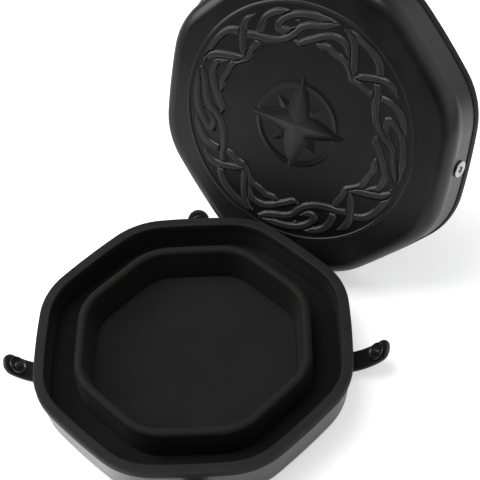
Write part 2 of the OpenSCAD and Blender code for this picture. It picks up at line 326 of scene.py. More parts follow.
@dataclass(frozen=True)
class Outline:
    """An octagon with bulging flats and round corners, and all its true parallels."""

    half: float
    flat_radius: float
    corner_radius: float
    flat_steps: int = 10
    corner_steps: int = 14
    least_corner: float = 2.0

    def ring(self, half: float, height: float) -> np.ndarray:
        """Draws a parallel of the outline.

        Args:
            half: Its half width across the flats.
            height: Its height.

        Returns:
            Its points, anticlockwise from the right-hand side.
        """
        lean = self.flat_radius - self.half
        a = lean * math.cos(SECTOR / 2)
        corner = math.sqrt(a * a - lean * lean + (self.flat_radius - self.corner_radius) ** 2) - a
        edge = math.atan2(corner * math.sin(SECTOR / 2), corner * math.cos(SECTOR / 2) + lean)
        flat_r = self.flat_radius - self.half + half
        corner_r = max(self.least_corner, self.corner_radius - self.half + half)
        turn = (SECTOR - 2 * edge) / self.corner_steps
        points = []
        for i in range(SIDES):
            q = i * SECTOR
            for j in range(self.flat_steps):
                p = q - edge + j * 2 * edge / self.flat_steps
                x, y = -lean * math.cos(q), -lean * math.sin(q)
                points.append((flat_r * math.cos(p) + x, flat_r * math.sin(p) + y))
            q += SECTOR / 2
            for j in range(self.corner_steps):
                p = i * SECTOR + edge + j * turn
                x, y = corner * math.cos(q), corner * math.sin(q)
                points.append((x + corner_r * math.cos(p), y + corner_r * math.sin(p)))
        flat = np.array(points)
        return np.column_stack([flat, np.full(len(flat), height)])

    def rings(self, profile: Sequence[Point]) -> list[np.ndarray]:
        """Returns a ring for each (half width, height) of a profile."""
        return [self.ring(across, up) for across, up in profile]


@dataclass(frozen=True)
class Placement:
    """A turn and a shift that put a piece, made about its own origin, in the row's frame."""

    turn: np.ndarray
    shift: np.ndarray

    def place(self, points: np.ndarray) -> np.ndarray:
        """Returns the points, in millimetres, in the row's frame."""
        return np.asarray(points) @ self.turn.T + self.shift


def turned(axis: str, degrees: float) -> np.ndarray:
    """Returns the matrix that turns by degrees about the axis X, Y or Z."""
    return np.array(Matrix.Rotation(math.radians(degrees), 3, axis))


# ---- Node trees -------------------------------------------------------------------------


class Signal:
    """A socket of a node tree that takes part in Python arithmetic."""

    def __init__(self, graph: "Graph", socket: bpy.types.NodeSocket) -> None:
        """Wraps a socket of that graph."""
        self.graph = graph
        self.socket = socket

    def _math(self, operation: str, a: Any, b: Any) -> "Signal":
        """Returns the result of a Math node."""
        return self.graph.node("Math", {"operation": operation}, {0: a, 1: b})

    def __add__(self, other: Any) -> "Signal":
        """Returns self + other."""
        return self._math("ADD", self, other)

    __radd__ = __add__

    def __sub__(self, other: Any) -> "Signal":
        """Returns self - other."""
        return self._math("SUBTRACT", self, other)

    def __rsub__(self, other: Any) -> "Signal":
        """Returns other - self."""
        return self._math("SUBTRACT", other, self)

    def __mul__(self, other: Any) -> "Signal":
        """Returns self * other."""
        return self._math("MULTIPLY", self, other)

    __rmul__ = __mul__

    def at_most(self, other: Any) -> "Signal":
        """Returns the smaller of the two."""
        return self._math("MINIMUM", self, other)

    def at_least(self, other: Any) -> "Signal":
        """Returns the larger of the two."""
        return self._math("MAXIMUM", self, other)

    def ramp(self, low: float, high: float) -> "Signal":
        """Returns 0 below low, 1 above high, and a smooth rise between them."""
        settings = {"interpolation_type": "SMOOTHSTEP"}
        return self.graph.node("MapRange", settings, {"Value": self, "From Min": low, "From Max": high})


class Graph:
    """Builds the nodes of a material, a world or a geometry tree."""

    FAMILIES = ("ShaderNode", "GeometryNode", "NodeGroup")

    def __init__(self, tree: bpy.types.NodeTree, prefix: str = "ShaderNode") -> None:
        """Starts from an empty tree.

        Args:
            tree: The tree; what is in it goes.
            prefix: The family of its nodes.
        """
        self.tree = tree
        self.prefix = prefix
        tree.nodes.clear()

    def add(
        self, kind: str, settings: dict[str, Any] | None = None, inputs: dict[Any, Any] | None = None
    ) -> bpy.types.Node:
        """Adds one node.

        Args:
            kind: The node's type without its family, or the whole identifier.
            settings: Properties that are set first.
            inputs: A value or a link for each input, by name or number.

        Returns:
            The node.
        """
        known = kind.startswith(self.FAMILIES)
        node = self.tree.nodes.new(kind if known else self.prefix + kind)
        for key, value in (settings or {}).items():
            setattr(node, key, value)
        for key, value in (inputs or {}).items():
            self.feed(node.inputs[key], value)
        return node

    def node(
        self,
        kind: str,
        settings: dict[str, Any] | None = None,
        inputs: dict[Any, Any] | None = None,
        output: Any = 0,
    ) -> Signal:
        """Adds one node and returns the named output as a signal; see add."""
        return Signal(self, self.add(kind, settings, inputs).outputs[output])

    def feed(self, socket: bpy.types.NodeSocket, value: Any) -> None:
        """Gives an input its value.

        Args:
            socket: The input.
            value: A signal to link, or the socket's own value.
        """
        if isinstance(value, Signal):
            self.tree.links.new(value.socket, socket)
        elif isinstance(value, tuple) and len(value) == 3 and socket.type == "RGBA":
            socket.default_value = (*value, 1.0)
        else:
            socket.default_value = value

    def blend(self, factor: Any, a: Any, b: Any) -> Signal:
        """Returns colour a where factor is 0 and colour b where it is 1."""
        return self.node("Mix", {"data_type": "RGBA"}, {0: factor, 6: a, 7: b}, 2)

    def place(self) -> Signal:
        """Returns the place on the piece, in metres."""
        return self.node("TexCoord", output="Object")

    def parts(self, vector: Signal) -> list[Signal]:
        """Returns a vector's three components."""
        split = self.add("SeparateXYZ", None, {0: vector})
        return [Signal(self, split.outputs[axis]) for axis in "XYZ"]

    def rays(self, *kinds: str) -> list[Signal]:
        """Returns, for each kind of ray, 1 on such rays and 0 on others."""
        path = self.add("LightPath")
        return [Signal(self, path.outputs[f"Is {kind} Ray"]) for kind in kinds]

    def noise(self, place: Signal, scale: float, detail: float, **more: float) -> Signal:
        """Adds a noise.

        Args:
            place: Where it is read.
            scale: Its waves to a metre.
            detail: Its octaves.
            more: The node's other inputs, by name.

        Returns:
            The noise, about 0.5 on average.
        """
        return self.node("TexNoise", None, {"Vector": place, "Scale": scale, "Detail": detail, **more}, "Fac")

    def wear(self) -> Signal:
        """Returns the piece's wear attribute, 0 where it has none: rubbing on most pieces, painted highlights
        on the roundel's and the dividing wall's crests, and painted shade in the lid sockets' hole.
        """
        return self.node("Attribute", {"attribute_name": "wear"}, None, "Fac")

    def bump(self, strength: float, distance: float, height: Signal) -> Signal:
        """Returns the normal over a fine relief of that depth in metres."""
        return self.node("Bump", None, {"Strength": strength, "Distance": distance, "Height": height})

    def surface(self, tint: Any, roughness: Any, normal: Signal, **more: Any) -> None:
        """Closes a material with one surface.

        Args:
            tint: Its colour.
            roughness: Its roughness.
            normal: Its normal.
            more: The shader's other inputs, by name with _ for a space.
        """
        inputs = {"Base Color": tint, "Roughness": roughness, "Normal": normal}
        inputs |= {word.replace("_", " "): value for word, value in more.items()}
        self.add("OutputMaterial", None, {"Surface": self.node("BsdfPrincipled", None, inputs)})


def new_material(name: str) -> tuple[bpy.types.Material, Graph]:
    """Starts a material.

    Args:
        name: Its name.

    Returns:
        The empty node material and its graph.
    """
    material = bpy.data.materials.new(name)
    material.use_nodes = True
    return material, Graph(material.node_tree)


def shade(colour: Colour, factor: float, lift: float = 0.0) -> Colour:
    """Returns a colour made darker or lighter by a factor, and lifted."""
    return tuple(min(1.0, c * factor + lift) for c in colour)


# ---- Finishes ---------------------------------------------------------------------------


@dataclass(frozen=True)
class Leatherette:
    """Grained leatherette, with duller or brighter patches, rubbed pale edges, and painted highlights on the
    roundel's crests.
    """

    name: str
    colour: Colour
    roughness: float = 0.42
    grain: float = 0.9
    depth: float = 0.05
    specular: float = 0.5
    rubbed: float = 0.35

    def material(self) -> bpy.types.Material:
        """Builds the finish; grain and depth are in millimetres.

        Returns:
            The material.
        """
        material, g = new_material(self.name)
        place = g.place()
        grid = {"Vector": place, "Scale": 1000 / self.grain, "Smoothness": 0.6}
        cells = g.node("TexVoronoi", {"feature": "SMOOTH_F1"}, grid, "Distance")
        creases = g.noise(place, 620 / self.grain, 3.0, Roughness=0.6)
        patches = g.noise(place, 26.0, 4.0, Roughness=0.55)
        broad = g.noise(place, 9.0, 2.0)
        # Paler where the wear attribute is set: real rubbing at the edges, and a painted highlight on the
        # roundel's crests.
        rub = (g.wear() * (0.35 + patches)).ramp(0.25, 0.95) * self.rubbed
        mottled = patches.ramp(0.35, 0.7) * 0.5
        tint = g.blend(mottled, shade(self.colour, 0.86), shade(self.colour, 1.5, 0.0015))
        tint = g.blend(cells.ramp(0.2, 0.6) * 0.35, tint, shade(self.colour, 0.7))
        tint = g.blend(rub, tint, shade(self.colour, 2.2, 0.02))
        gloss = self.roughness + (broad - 0.5) * 0.12 + (patches - 0.5) * 0.08 + cells * 0.06 - rub * 0.1
        bump = g.bump(0.55, self.depth * MM, (1.0 - cells) * 0.7 + creases * 0.5)
        g.surface(tint, gloss, bump, Specular_IOR_Level=self.specular)
        return material


@dataclass(frozen=True)
class Cloth:
    """Short-napped lining cloth: matte, faintly mottled, paler where its wear attribute is set: rubbed nap,
    and on the dividing wall's crest a painted highlight as well.
    """

    name: str
    colour: Colour
    sheen: float = 0.02
    nap: float = 0.5
    rubbed: float = 0.5

    def material(self) -> bpy.types.Material:
        """Builds the finish.

        Returns:
            The material.
        """
        material, g = new_material(self.name)
        place = g.place()
        fibres = g.noise(place, 1500.0, 2.0, Roughness=0.7)
        nap = g.noise(place, 210.0, 4.0, Roughness=0.65)
        brushed = g.noise(place, 24.0, 3.0, Distortion=0.6)
        # Paler where the wear attribute is set: rubbed nap, and on the dividing wall's crest a painted
        # highlight.
        rub = g.wear().ramp(0.1, 1.0) * (0.6 + nap * 0.6) * self.rubbed
        tint = g.blend(brushed.ramp(0.3, 0.7) * 0.55, shade(self.colour, 0.82), shade(self.colour, 1.3))
        tint = g.blend(fibres.ramp(0.35, 0.7) * 0.45, tint, shade(self.colour, 1.7, 0.002))
        tint = g.blend(rub, tint, shade(self.colour, 2.4, 0.01))
        gloss = 0.86 + (nap - 0.5) * 0.14 - rub * 0.2
        bump = g.bump(self.nap, 0.12 * MM, fibres * 0.5 + nap * 0.8)
        sheen = {"Sheen_Weight": self.sheen, "Sheen_Roughness": 0.4}
        g.surface(tint, gloss, bump, Specular_IOR_Level=0.1, **sheen)
        return material


@dataclass(frozen=True)
class Metal:
    """Plated or enamelled metal with fine scuffs."""

    name: str
    colour: Colour
    roughness: float = 0.3
    metallic: float = 1.0
    coat: float = 0.0

    def material(self) -> bpy.types.Material:
        """Builds the finish, painted near black where the wear attribute is set: painted shade in the lid
        sockets' hole.

        Returns:
            The material.
        """
        material, g = new_material(self.name)
        place = g.place()
        scuffs = g.noise(place, 900.0, 4.0, Roughness=0.7)
        cloud = g.noise(place, 160.0, 2.0)
        tint = g.blend(cloud.ramp(0.3, 0.75) * 0.5, self.colour, shade(self.colour, 0.78))
        # Painted shade: near black where the wear attribute is set.
        tint = g.blend(g.wear(), tint, shade(self.colour, 0.03))
        gloss = self.roughness + (scuffs - 0.5) * 0.22
        bump = g.bump(0.25, 0.03 * MM, scuffs)
        g.surface(tint, gloss, bump, Metallic=self.metallic, Coat_Weight=self.coat)
        return material


@dataclass(frozen=True)
class Fill:
    """Foam, board or thread inside the case, mottled by a coarse or fine noise."""

    name: str
    colour: Colour
    cell: float = 0.8
    roughness: float = 0.85

    def material(self) -> bpy.types.Material:
        """Builds the finish; cell is in millimetres.

        Returns:
            The material.
        """
        material, g = new_material(self.name)
        cells = g.node("TexVoronoi", None, {"Vector": g.place(), "Scale": 1000 / self.cell}, "Distance")
        tint = g.blend(cells.ramp(0.1, 0.7), shade(self.colour, 0.7), shade(self.colour, 1.25))
        g.surface(tint, self.roughness + cells * 0.1, g.bump(0.4, 0.1 * MM, cells))
        return material


@dataclass
class Finishes:
    """The chest's finishes, each made once."""

    base_skin: Leatherette = Leatherette(
        "wall_leatherette", (0.014, 0.014, 0.0145),
        roughness=0.3, grain=0.9, depth=0.03, specular=0.6, rubbed=0.3,
    )
    lid_skin: Leatherette = Leatherette(
        "lid_leatherette", (0.004, 0.004, 0.0042),
        roughness=0.3, grain=0.8, depth=0.025, specular=0.34, rubbed=0.6,
    )
    edging: Leatherette = Leatherette(
        "edge_binding", (0.0115, 0.0117, 0.0118),
        roughness=0.6, grain=0.7, depth=0.04, specular=0.15, rubbed=0.3,
    )
    strap: Leatherette = Leatherette(
        "strap_leather", (0.008, 0.008, 0.0085),
        roughness=0.36, grain=0.8, depth=0.05, specular=0.5, rubbed=0.5,
    )
    # One lining cloth in three copies: the tray floor's copy is painted lighter as lit, and the dividing
    # wall's copy darker as painted shade.
    lining: Cloth = Cloth("lining_cloth", (0.0072, 0.0068, 0.0067), sheen=0.05)
    floor_cloth: Cloth = Cloth("tray_floor_cloth", (0.0100, 0.0096, 0.0095), sheen=0.02, nap=0.4)
    wall_cloth: Cloth = Cloth("divider_cloth", (0.0047, 0.0043, 0.0041), sheen=0.03)
    enamel: Metal = Metal("snap_enamel", (0.05, 0.05, 0.052), roughness=0.16, metallic=0.75, coat=0.4)
    nickel: Metal = Metal("snap_nickel", (0.37, 0.375, 0.38), roughness=0.34)
    thread: Fill = Fill("strap_thread", (0.030, 0.030, 0.031), cell=0.4, roughness=0.5)
    pressed_foam: Fill = Fill("pressed_foam", (0.05, 0.05, 0.055))
    soft_foam: Fill = Fill("soft_foam", (0.09, 0.09, 0.095), cell=1.4)
    board: Fill = Fill("grey_board", (0.22, 0.18, 0.14), cell=0.5)
    made: dict[str, bpy.types.Material] = field(default_factory=dict)

    def of(self, word: str) -> bpy.types.Material:
        """Finds a finish.

        Args:
            word: Its field's name.

        Returns:
            Its material, made when first asked for.
        """
        if word not in self.made:
            self.made[word] = getattr(self, word).material()
        return self.made[word]


def dress(piece: bpy.types.Object, material: bpy.types.Material, body: str, slot: str, *nodes: str) -> None:
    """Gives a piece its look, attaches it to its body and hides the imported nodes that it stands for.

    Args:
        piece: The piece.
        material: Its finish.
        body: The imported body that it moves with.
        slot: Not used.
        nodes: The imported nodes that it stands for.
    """
    piece.data.materials.clear()
    piece.data.materials.append(material)
    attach(piece, body)
    if nodes:
        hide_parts(*nodes)
    LOG.info("%s on %s: %d faces", piece.name, body, len(piece.data.polygons))


# ---- Geometry trees ---------------------------------------------------------------------


class GeometryTree:
    """A geometry tree with named inputs that repeats or sweeps a shape."""

    def __init__(self, name: str, sizes: dict[str, float]) -> None:
        """Makes the tree's sockets.

        Args:
            name: The tree's name.
            sizes: Each input's name and its default.
        """
        self.tree = bpy.data.node_groups.new(name, "GeometryNodeTree")
        face = self.tree.interface
        face.new_socket("Geometry", in_out="INPUT", socket_type="NodeSocketGeometry")
        for word, value in sizes.items():
            kind = "NodeSocketInt" if isinstance(value, int) else "NodeSocketFloat"
            face.new_socket(word, in_out="INPUT", socket_type=kind).default_value = value
        face.new_socket("Finish", in_out="INPUT", socket_type="NodeSocketMaterial")
        face.new_socket("Geometry", in_out="OUTPUT", socket_type="NodeSocketGeometry")
        self.graph = Graph(self.tree, "GeometryNode")
        self.source = self.graph.add("NodeGroupInput")

    def given(self, word: str) -> Signal:
        """Returns an input of the tree."""
        return Signal(self.graph, self.source.outputs[word])

    def end(self, geometry: Signal) -> None:
        """Realizes the instances, sets the finish and closes the tree.

        Args:
            geometry: The instances.
        """
        real = self.graph.node("RealizeInstances", None, {"Geometry": geometry})
        done = self.graph.node("SetMaterial", None, {"Geometry": real, "Material": self.given("Finish")})
        self.graph.add("NodeGroupOutput", None, {0: done})

    def grow(self, name: str, seed: bpy.types.Object, values: dict[str, Any]) -> bpy.types.Object:
        """Runs the tree on an object and returns the result as a plain mesh.

        Args:
            name: The new object's name.
            seed: The object that carries the tree; it is removed.
            values: The value of each named input.

        Returns:
            The new object, at the origin.
        """
        modifier = seed.modifiers.new("grow", "NODES")
        modifier.node_group = self.tree
        for item in self.tree.interface.items_tree:
            if item.in_out == "INPUT" and item.name in values:
                modifier[item.identifier] = values[item.name]
        mesh = settled(seed)
        mesh.name = name
        seed.modifiers.clear()
        bpy.data.objects.remove(seed)
        smooth(mesh, CRISP)
        return add_object(name, mesh)


class StitchTree(GeometryTree):
    """Lays a row of thread stitches along a line. Metres."""

    SIZES: dict[str, float] = {"Pitch": 0.0024, "Stitch Length": 0.0017, "Thread Radius": 0.00024}
    BEAD: dict[str, float] = {"Segments": 6, "Rings": 5, "Radius": 1.0}

    def __init__(self) -> None:
        """Builds the tree."""
        super().__init__("stitch_row", self.SIZES)
        g = self.graph
        curve = g.node("MeshToCurve", None, {"Mesh": self.given("Geometry")})
        row = g.add("CurveToPoints", {"mode": "LENGTH"}, {"Curve": curve, "Length": self.given("Pitch")})
        radius, length = self.given("Thread Radius"), self.given("Stitch Length")
        bead = g.node("MeshUVSphere", None, self.BEAD, "Mesh")
        size = g.node("ShaderNodeCombineXYZ", None, {"X": radius, "Y": radius, "Z": length})
        half = g.node("ShaderNodeVectorMath", {"operation": "MULTIPLY"}, {0: size, 1: (1.0, 1.0, 0.5)})
        stitch = g.node("Transform", None, {"Geometry": bead, "Scale": half})
        spots = {word: Signal(g, row.outputs[word]) for word in ("Points", "Rotation")}
        self.end(g.node("InstanceOnPoints", None, {**spots, "Instance": stitch}))


class AroundTree(GeometryTree):
    """Repeats a piece, made in place at the right-hand side, evenly round the Z axis."""

    def __init__(self) -> None:
        """Builds the tree."""
        super().__init__("round_the_case", {"Count": 4, "First Angle": 0.0})
        g = self.graph
        count = self.given("Count")
        spots = g.node("Points", None, {"Count": count})
        step = g.node("ShaderNodeMath", {"operation": "DIVIDE"}, {0: 2 * math.pi, 1: count})
        along = {0: g.node("InputIndex"), 1: step, 2: self.given("First Angle")}
        angle = g.node("ShaderNodeMath", {"operation": "MULTIPLY_ADD"}, along)
        turn = g.node("ShaderNodeCombineXYZ", None, {"Z": angle})
        laid = {"Points": spots, "Instance": self.given("Geometry"), "Rotation": turn}
        self.end(g.node("InstanceOnPoints", None, laid))

    def four(self, name: str, seed: bpy.types.Object, finish: bpy.types.Material) -> bpy.types.Object:
        """Returns the piece on each of the case's four strapped sides, as one mesh."""
        return self.grow(name, seed, {"Count": len(Side), "First Angle": 0.0, "Finish": finish})


def moved(piece: bpy.types.Object, place: Placement) -> bpy.types.Object:
    """Puts a piece's mesh where a placement says.

    Args:
        piece: The piece, made about the placement's own origin.
        place: The placement.

    Returns:
        The same piece.
    """
    matrix = Matrix(place.turn.tolist()).to_4x4()
    matrix.translation = Vector((place.shift * MM).tolist())
    piece.data.transform(matrix)
    return piece


# ---- The base ---------------------------------------------------------------------------


@dataclass
class Base:
    """The lower half: skin, bound rim, channel, dividing wall and tray floor. Millimetres."""

    finishes: Finishes
    width: float = 240.0
    height: float = 50.0
    foot_round: float = 22.0
    draft: float = 2.5
    skin: float = 1.0
    wall: float = 3.6
    lining: float = 1.0
    band: float = 1.2
    band_height: float = 6.0
    fold: float = 1.1
    glue: float = 0.1
    tray_depth: float = 25.0
    divider_width: float = 171.2
    divider_top: float = 7.8
    divider_draft: float = 3.4
    divider_rise: float = 2.0
    cloth: float = 0.8
    pad: float = 1.2
    strap_width: float = 18.0
    strap_thick: float = 2.5
    strap_root: float = 7.0
    slit_at: float = 112.0
    slit_reach: float = 9.0
    floor_lap: float = 9.0
    floor_cove: float = 2.6
    board_lap: float = 1.6
    foot_steps: int = 19
    crest_steps: int = 17
    outline: Outline = Outline(half=120.0, flat_radius=550.0, corner_radius=59.0)
    divider_outline: Outline = Outline(half=85.6, flat_radius=2000.0, corner_radius=39.6)

    @property
    def wall_top(self) -> float:
        """Half width of the skin at the rim."""
        return self.width / 2 - self.band

    @property
    def band_low(self) -> float:
        """Height of the rim band's lower edge."""
        return self.height - self.band_height

    @property
    def inner_in(self) -> float:
        """Depth of the lining's back below the skin."""
        return self.skin + self.glue + self.wall + self.glue

    @property
    def low(self) -> float:
        """Height where the linings lie on the board."""
        return self.height - self.tray_depth - self.lining

    def wall_at(self, height: float) -> float:
        """Returns the skin's half width at a height."""
        foot = self.wall_top - self.draft
        return foot + self.draft * (height - self.foot_round) / (self.band_low - self.foot_round)

    def section(self, depth: float) -> list[Point]:
        """Draws the wall's section.

        Args:
            depth: How far it lies under the skin's face.

        Returns:
            Its points of (half width, height), from the foot up.
        """
        centre = self.wall_top - self.draft - self.foot_round
        r = self.foot_round - depth
        turns = np.linspace(0, math.pi / 2, self.foot_steps)
        arc = [(centre + r * math.sin(a), self.foot_round - r * math.cos(a)) for a in turns]
        rise = [(self.wall_at(z) - depth, z) for z in np.linspace(self.foot_round + 4, self.band_low, 5)]
        top = self.height - self.fold - self.glue
        return arc + rise + [(self.wall_top - depth, top)]

    def build_skin(self) -> None:
        """Makes the outer skin with a slit for each strap's sewn-in end."""
        out, inside = self.section(0.0), self.section(self.skin)
        piece = loft("base_skin", self.outline.rings(out + inside[::-1]), sharp=FOLDED)
        slits = [self.slit(side) for side in Side]
        for side, cutter in zip(Side, slits):
            cut = piece.modifiers.new(side.word, "BOOLEAN")
            cut.operation, cut.solver, cut.object = "DIFFERENCE", "EXACT", cutter
        mesh = settled(piece)
        piece.modifiers.clear()
        piece.data = mesh
        for cutter in slits:
            bpy.data.objects.remove(cutter)
        dress(piece, self.finishes.of("base_skin"), "base", "leatherette", "base_skin_cover")

    def slit(self, side: Side) -> bpy.types.Object:
        """Makes a block that cuts one strap's slit.

        Args:
            side: The strap's side.

        Returns:
            The block, larger than the strap by the glue gap all round.
        """
        half = [self.slit_reach, self.strap_width / 2 + self.glue, self.strap_thick / 2 + self.glue]
        corners = np.array([(x, y, z) for x in (-1, 1) for y in (-1, 1) for z in (-1, 1)]) * np.array(half)
        corners += np.array([self.slit_at, 0.0, self.strap_root])
        faces = [(0, 1, 3, 2), (4, 6, 7, 5), (0, 4, 5, 1), (2, 3, 7, 6), (0, 2, 6, 4), (1, 5, 7, 3)]
        return make_object(f"slit_{side.word}", corners @ turned("Z", side.value).T, faces)

    def build_band(self) -> None:
        """Makes the bound edge over the rim, rubbed along its outer shoulder."""
        out = self.width / 2
        inner = self.wall_top - self.inner_in - self.lining - self.glue - self.fold
        skin = self.wall_top + self.glue
        top = self.height - self.fold
        profile = rounded([
            (skin, self.band_low, 0), (out, self.band_low, 0.5), (out, self.height, 1.0),
            (inner, self.height, 1.1), (inner, self.band_low, 0.3), (inner + self.fold, self.band_low, 0),
            (inner + self.fold, top, 0), (skin, top, 0),
        ], 7)
        shoulder = [z > self.height - 1.0 and x > out - 1.0 for x, z in profile]
        wear = [1.0 if s else 0.3 if z > self.height - 0.2 else 0.0 for s, (_, z) in zip(shoulder, profile)]
        piece = loft("base_rim", self.outline.rings(profile), wear, closed=True)
        dress(piece, self.finishes.of("edging"), "base", "rim_band", "base_rim_band")

    def build_channel(self) -> None:
        """Makes the channel's lining, wall and floor in one cloth."""
        low, high = self.low, self.low + self.lining
        wall_low, wall_high = self.wall_at(low) - self.inner_in, self.wall_top - self.inner_in
        top = self.height - self.fold - self.glue
        lap = wall_low - self.floor_lap
        face = rounded([
            (wall_high - self.lining, top, 0), (wall_low - self.lining, high, self.floor_cove),
            (lap - self.lining, high, 0), (lap, low, 0), (wall_low, low, 0), (wall_high, self.band_low, 0),
            (wall_high, top, 0),
        ], 8)
        split = next(i for i, p in enumerate(face) if abs(p[0] - lap) < NONE)
        edge = self.divider_width / 2 + self.divider_top / 2 + self.glue
        rings = self.outline.rings(face[:split - 1])
        rings += self.divider_outline.rings([(edge, high), (edge, low)])
        rings += self.outline.rings(face[split + 1:])
        piece = loft("channel_cloth", rings[::-1], closed=True)
        dress(piece, self.finishes.of("lining"), "base", "lining_cloth", "channel_lining")

    def divider_section(self, depth: float) -> list[Point]:
        """Draws the dividing wall's section.

        Args:
            depth: How far it lies under the cloth's face.

        Returns:
            Its points of (half width, height), from the outer foot over the crest.
        """
        middle, r = self.divider_width / 2, self.divider_top / 2 - depth
        out, inside = middle + self.divider_top / 2, middle - self.divider_top / 2
        shoulder = self.height + self.divider_rise - self.divider_top / 2
        turns = np.linspace(0, math.pi, self.crest_steps)
        arc = [(middle + r * math.cos(a), shoulder + r * math.sin(a)) for a in turns]
        foot = inside - self.divider_draft + depth
        across, down = foot - inside - depth, self.low + self.board_lap - shoulder
        slope = [(inside + depth + across * t, shoulder + down * t) for t in (0.25, 0.5, 0.75, 1.0)]
        return [(out - depth, self.low), *arc, *slope, (foot, self.low)]

    def build_divider(self) -> None:
        """Makes the cloth over the dividing wall, paler along its round top: rubbed nap and a painted
        highlight.
        """
        outer, inner = self.divider_section(0.0), self.divider_section(self.cloth)
        profile = outer + inner[::-1]
        crest = self.height + self.divider_rise
        # Wear attribute rising to the crest: rubbed nap and a painted highlight along the top.
        wear = [max(0.0, 1.0 - (crest - z) / 3.0) for _, z in outer] + [0.0] * len(inner)
        piece = loft("divider_cloth", self.divider_outline.rings(profile), wear, closed=True)
        dress(piece, self.finishes.of("wall_cloth"), "base", "lining_cloth", "divider_cloth_cover")

    def build_floor(self) -> None:
        """Makes the tray's thin padded floor, rounded at its edge."""
        edge = self.divider_width / 2 - self.divider_top / 2 - self.divider_draft - self.glue
        top = self.low + self.pad
        profile = [(edge, self.low), (edge, top - 0.5), (edge - 0.15, top - 0.18), (edge - 0.5, top - 0.04)]
        profile += [(edge - step, top) for step in (1.2, 6, 12, 18, 24)]
        piece = loft("tray_floor", self.divider_outline.rings(profile))
        dress(piece, self.finishes.of("floor_cloth"), "base", "lining_cloth", "tray_floor_pad")

    def build(self) -> None:
        """Makes every piece of the base that shows."""
        self.build_skin()
        self.build_band()
        self.build_channel()
        self.build_divider()
        self.build_floor()


@dataclass
class Core:
    """What lies hidden in the base: moulded shell, foam, board, wall core and strap ends."""

    base: Base
    finishes: Finishes
    board: float = 1.2
    board_ease: float = 0.2
    tail: float = 12.0
    tail_round: float = 0.6
    strap_gap: float = 0.3
    root_x: float = 112.584

    def build_shell(self) -> None:
        """Makes the moulded shell under the skin."""
        depth = self.base.skin + self.base.glue
        out, inside = self.base.section(depth), self.base.section(depth + self.base.wall)
        piece = loft("base_shell_moulding", self.base.outline.rings(out + inside[::-1]), sharp=FOLDED)
        dress(piece, self.finishes.of("pressed_foam"), "base", "moulded_foam", "base_shell")

    def build_foam(self) -> None:
        """Makes the foam block under the board, filling the rounded foot."""
        depth = self.base.inner_in
        top = self.base.low - self.base.glue * 2 - self.board
        section = [p for p in self.base.section(depth) if p[1] < top]
        section.append((self.base.wall_at(top) - depth, top))
        piece = loft("underfloor_block", self.base.outline.rings(section), sharp=FOLDED)
        dress(piece, self.finishes.of("soft_foam"), "base", "soft_foam", "underfloor_foam")

    def build_board(self) -> None:
        """Makes the stiff board, its cut edge eased."""
        high = self.base.low - self.base.glue
        low = high - self.board
        half = self.base.wall_at(low) - self.base.inner_in
        ease = self.board_ease
        profile = [(half - ease, low), (half, low + ease), (half, high - ease), (half - ease, high)]
        piece = loft("floor_board_sheet", self.base.outline.rings(profile))
        dress(piece, self.finishes.of("board"), "base", "board", "floor_board")

    def build_wall_core(self) -> None:
        """Makes the dividing wall's core inside its cloth."""
        section = self.base.divider_section(self.base.cloth + self.base.glue)
        piece = loft("divider_core_strip", self.base.divider_outline.rings(section), closed=True)
        dress(piece, self.finishes.of("pressed_foam"), "base", "moulded_foam", "divider_core")

    def build_tails(self) -> None:
        """Makes the sewn-in ends of the straps."""
        reach = self.root_x - self.base.strap_thick / 2 - self.base.glue - self.strap_gap
        y, z, r = self.base.strap_width / 2, self.base.strap_thick / 2, self.tail_round
        profile = rounded([(-y, -z, r), (y, -z, r), (y, z, r), (-y, z, r)], 4)
        ends = (reach - self.tail, reach)
        rings = [np.array([(x, across, self.base.strap_root + up) for across, up in profile]) for x in ends]
        finish = self.finishes.of("strap")
        piece = AroundTree().four("strap_ends", loft("tail_seed", rings), finish)
        dress(piece, finish, "base", "strap_leather", "strap_tails")

    def build(self) -> None:
        """Makes every hidden piece of the base."""
        self.build_shell()
        self.build_foam()
        self.build_board()
        self.build_wall_core()
        self.build_tails()


# ---- Straps and snaps -------------------------------------------------------------------


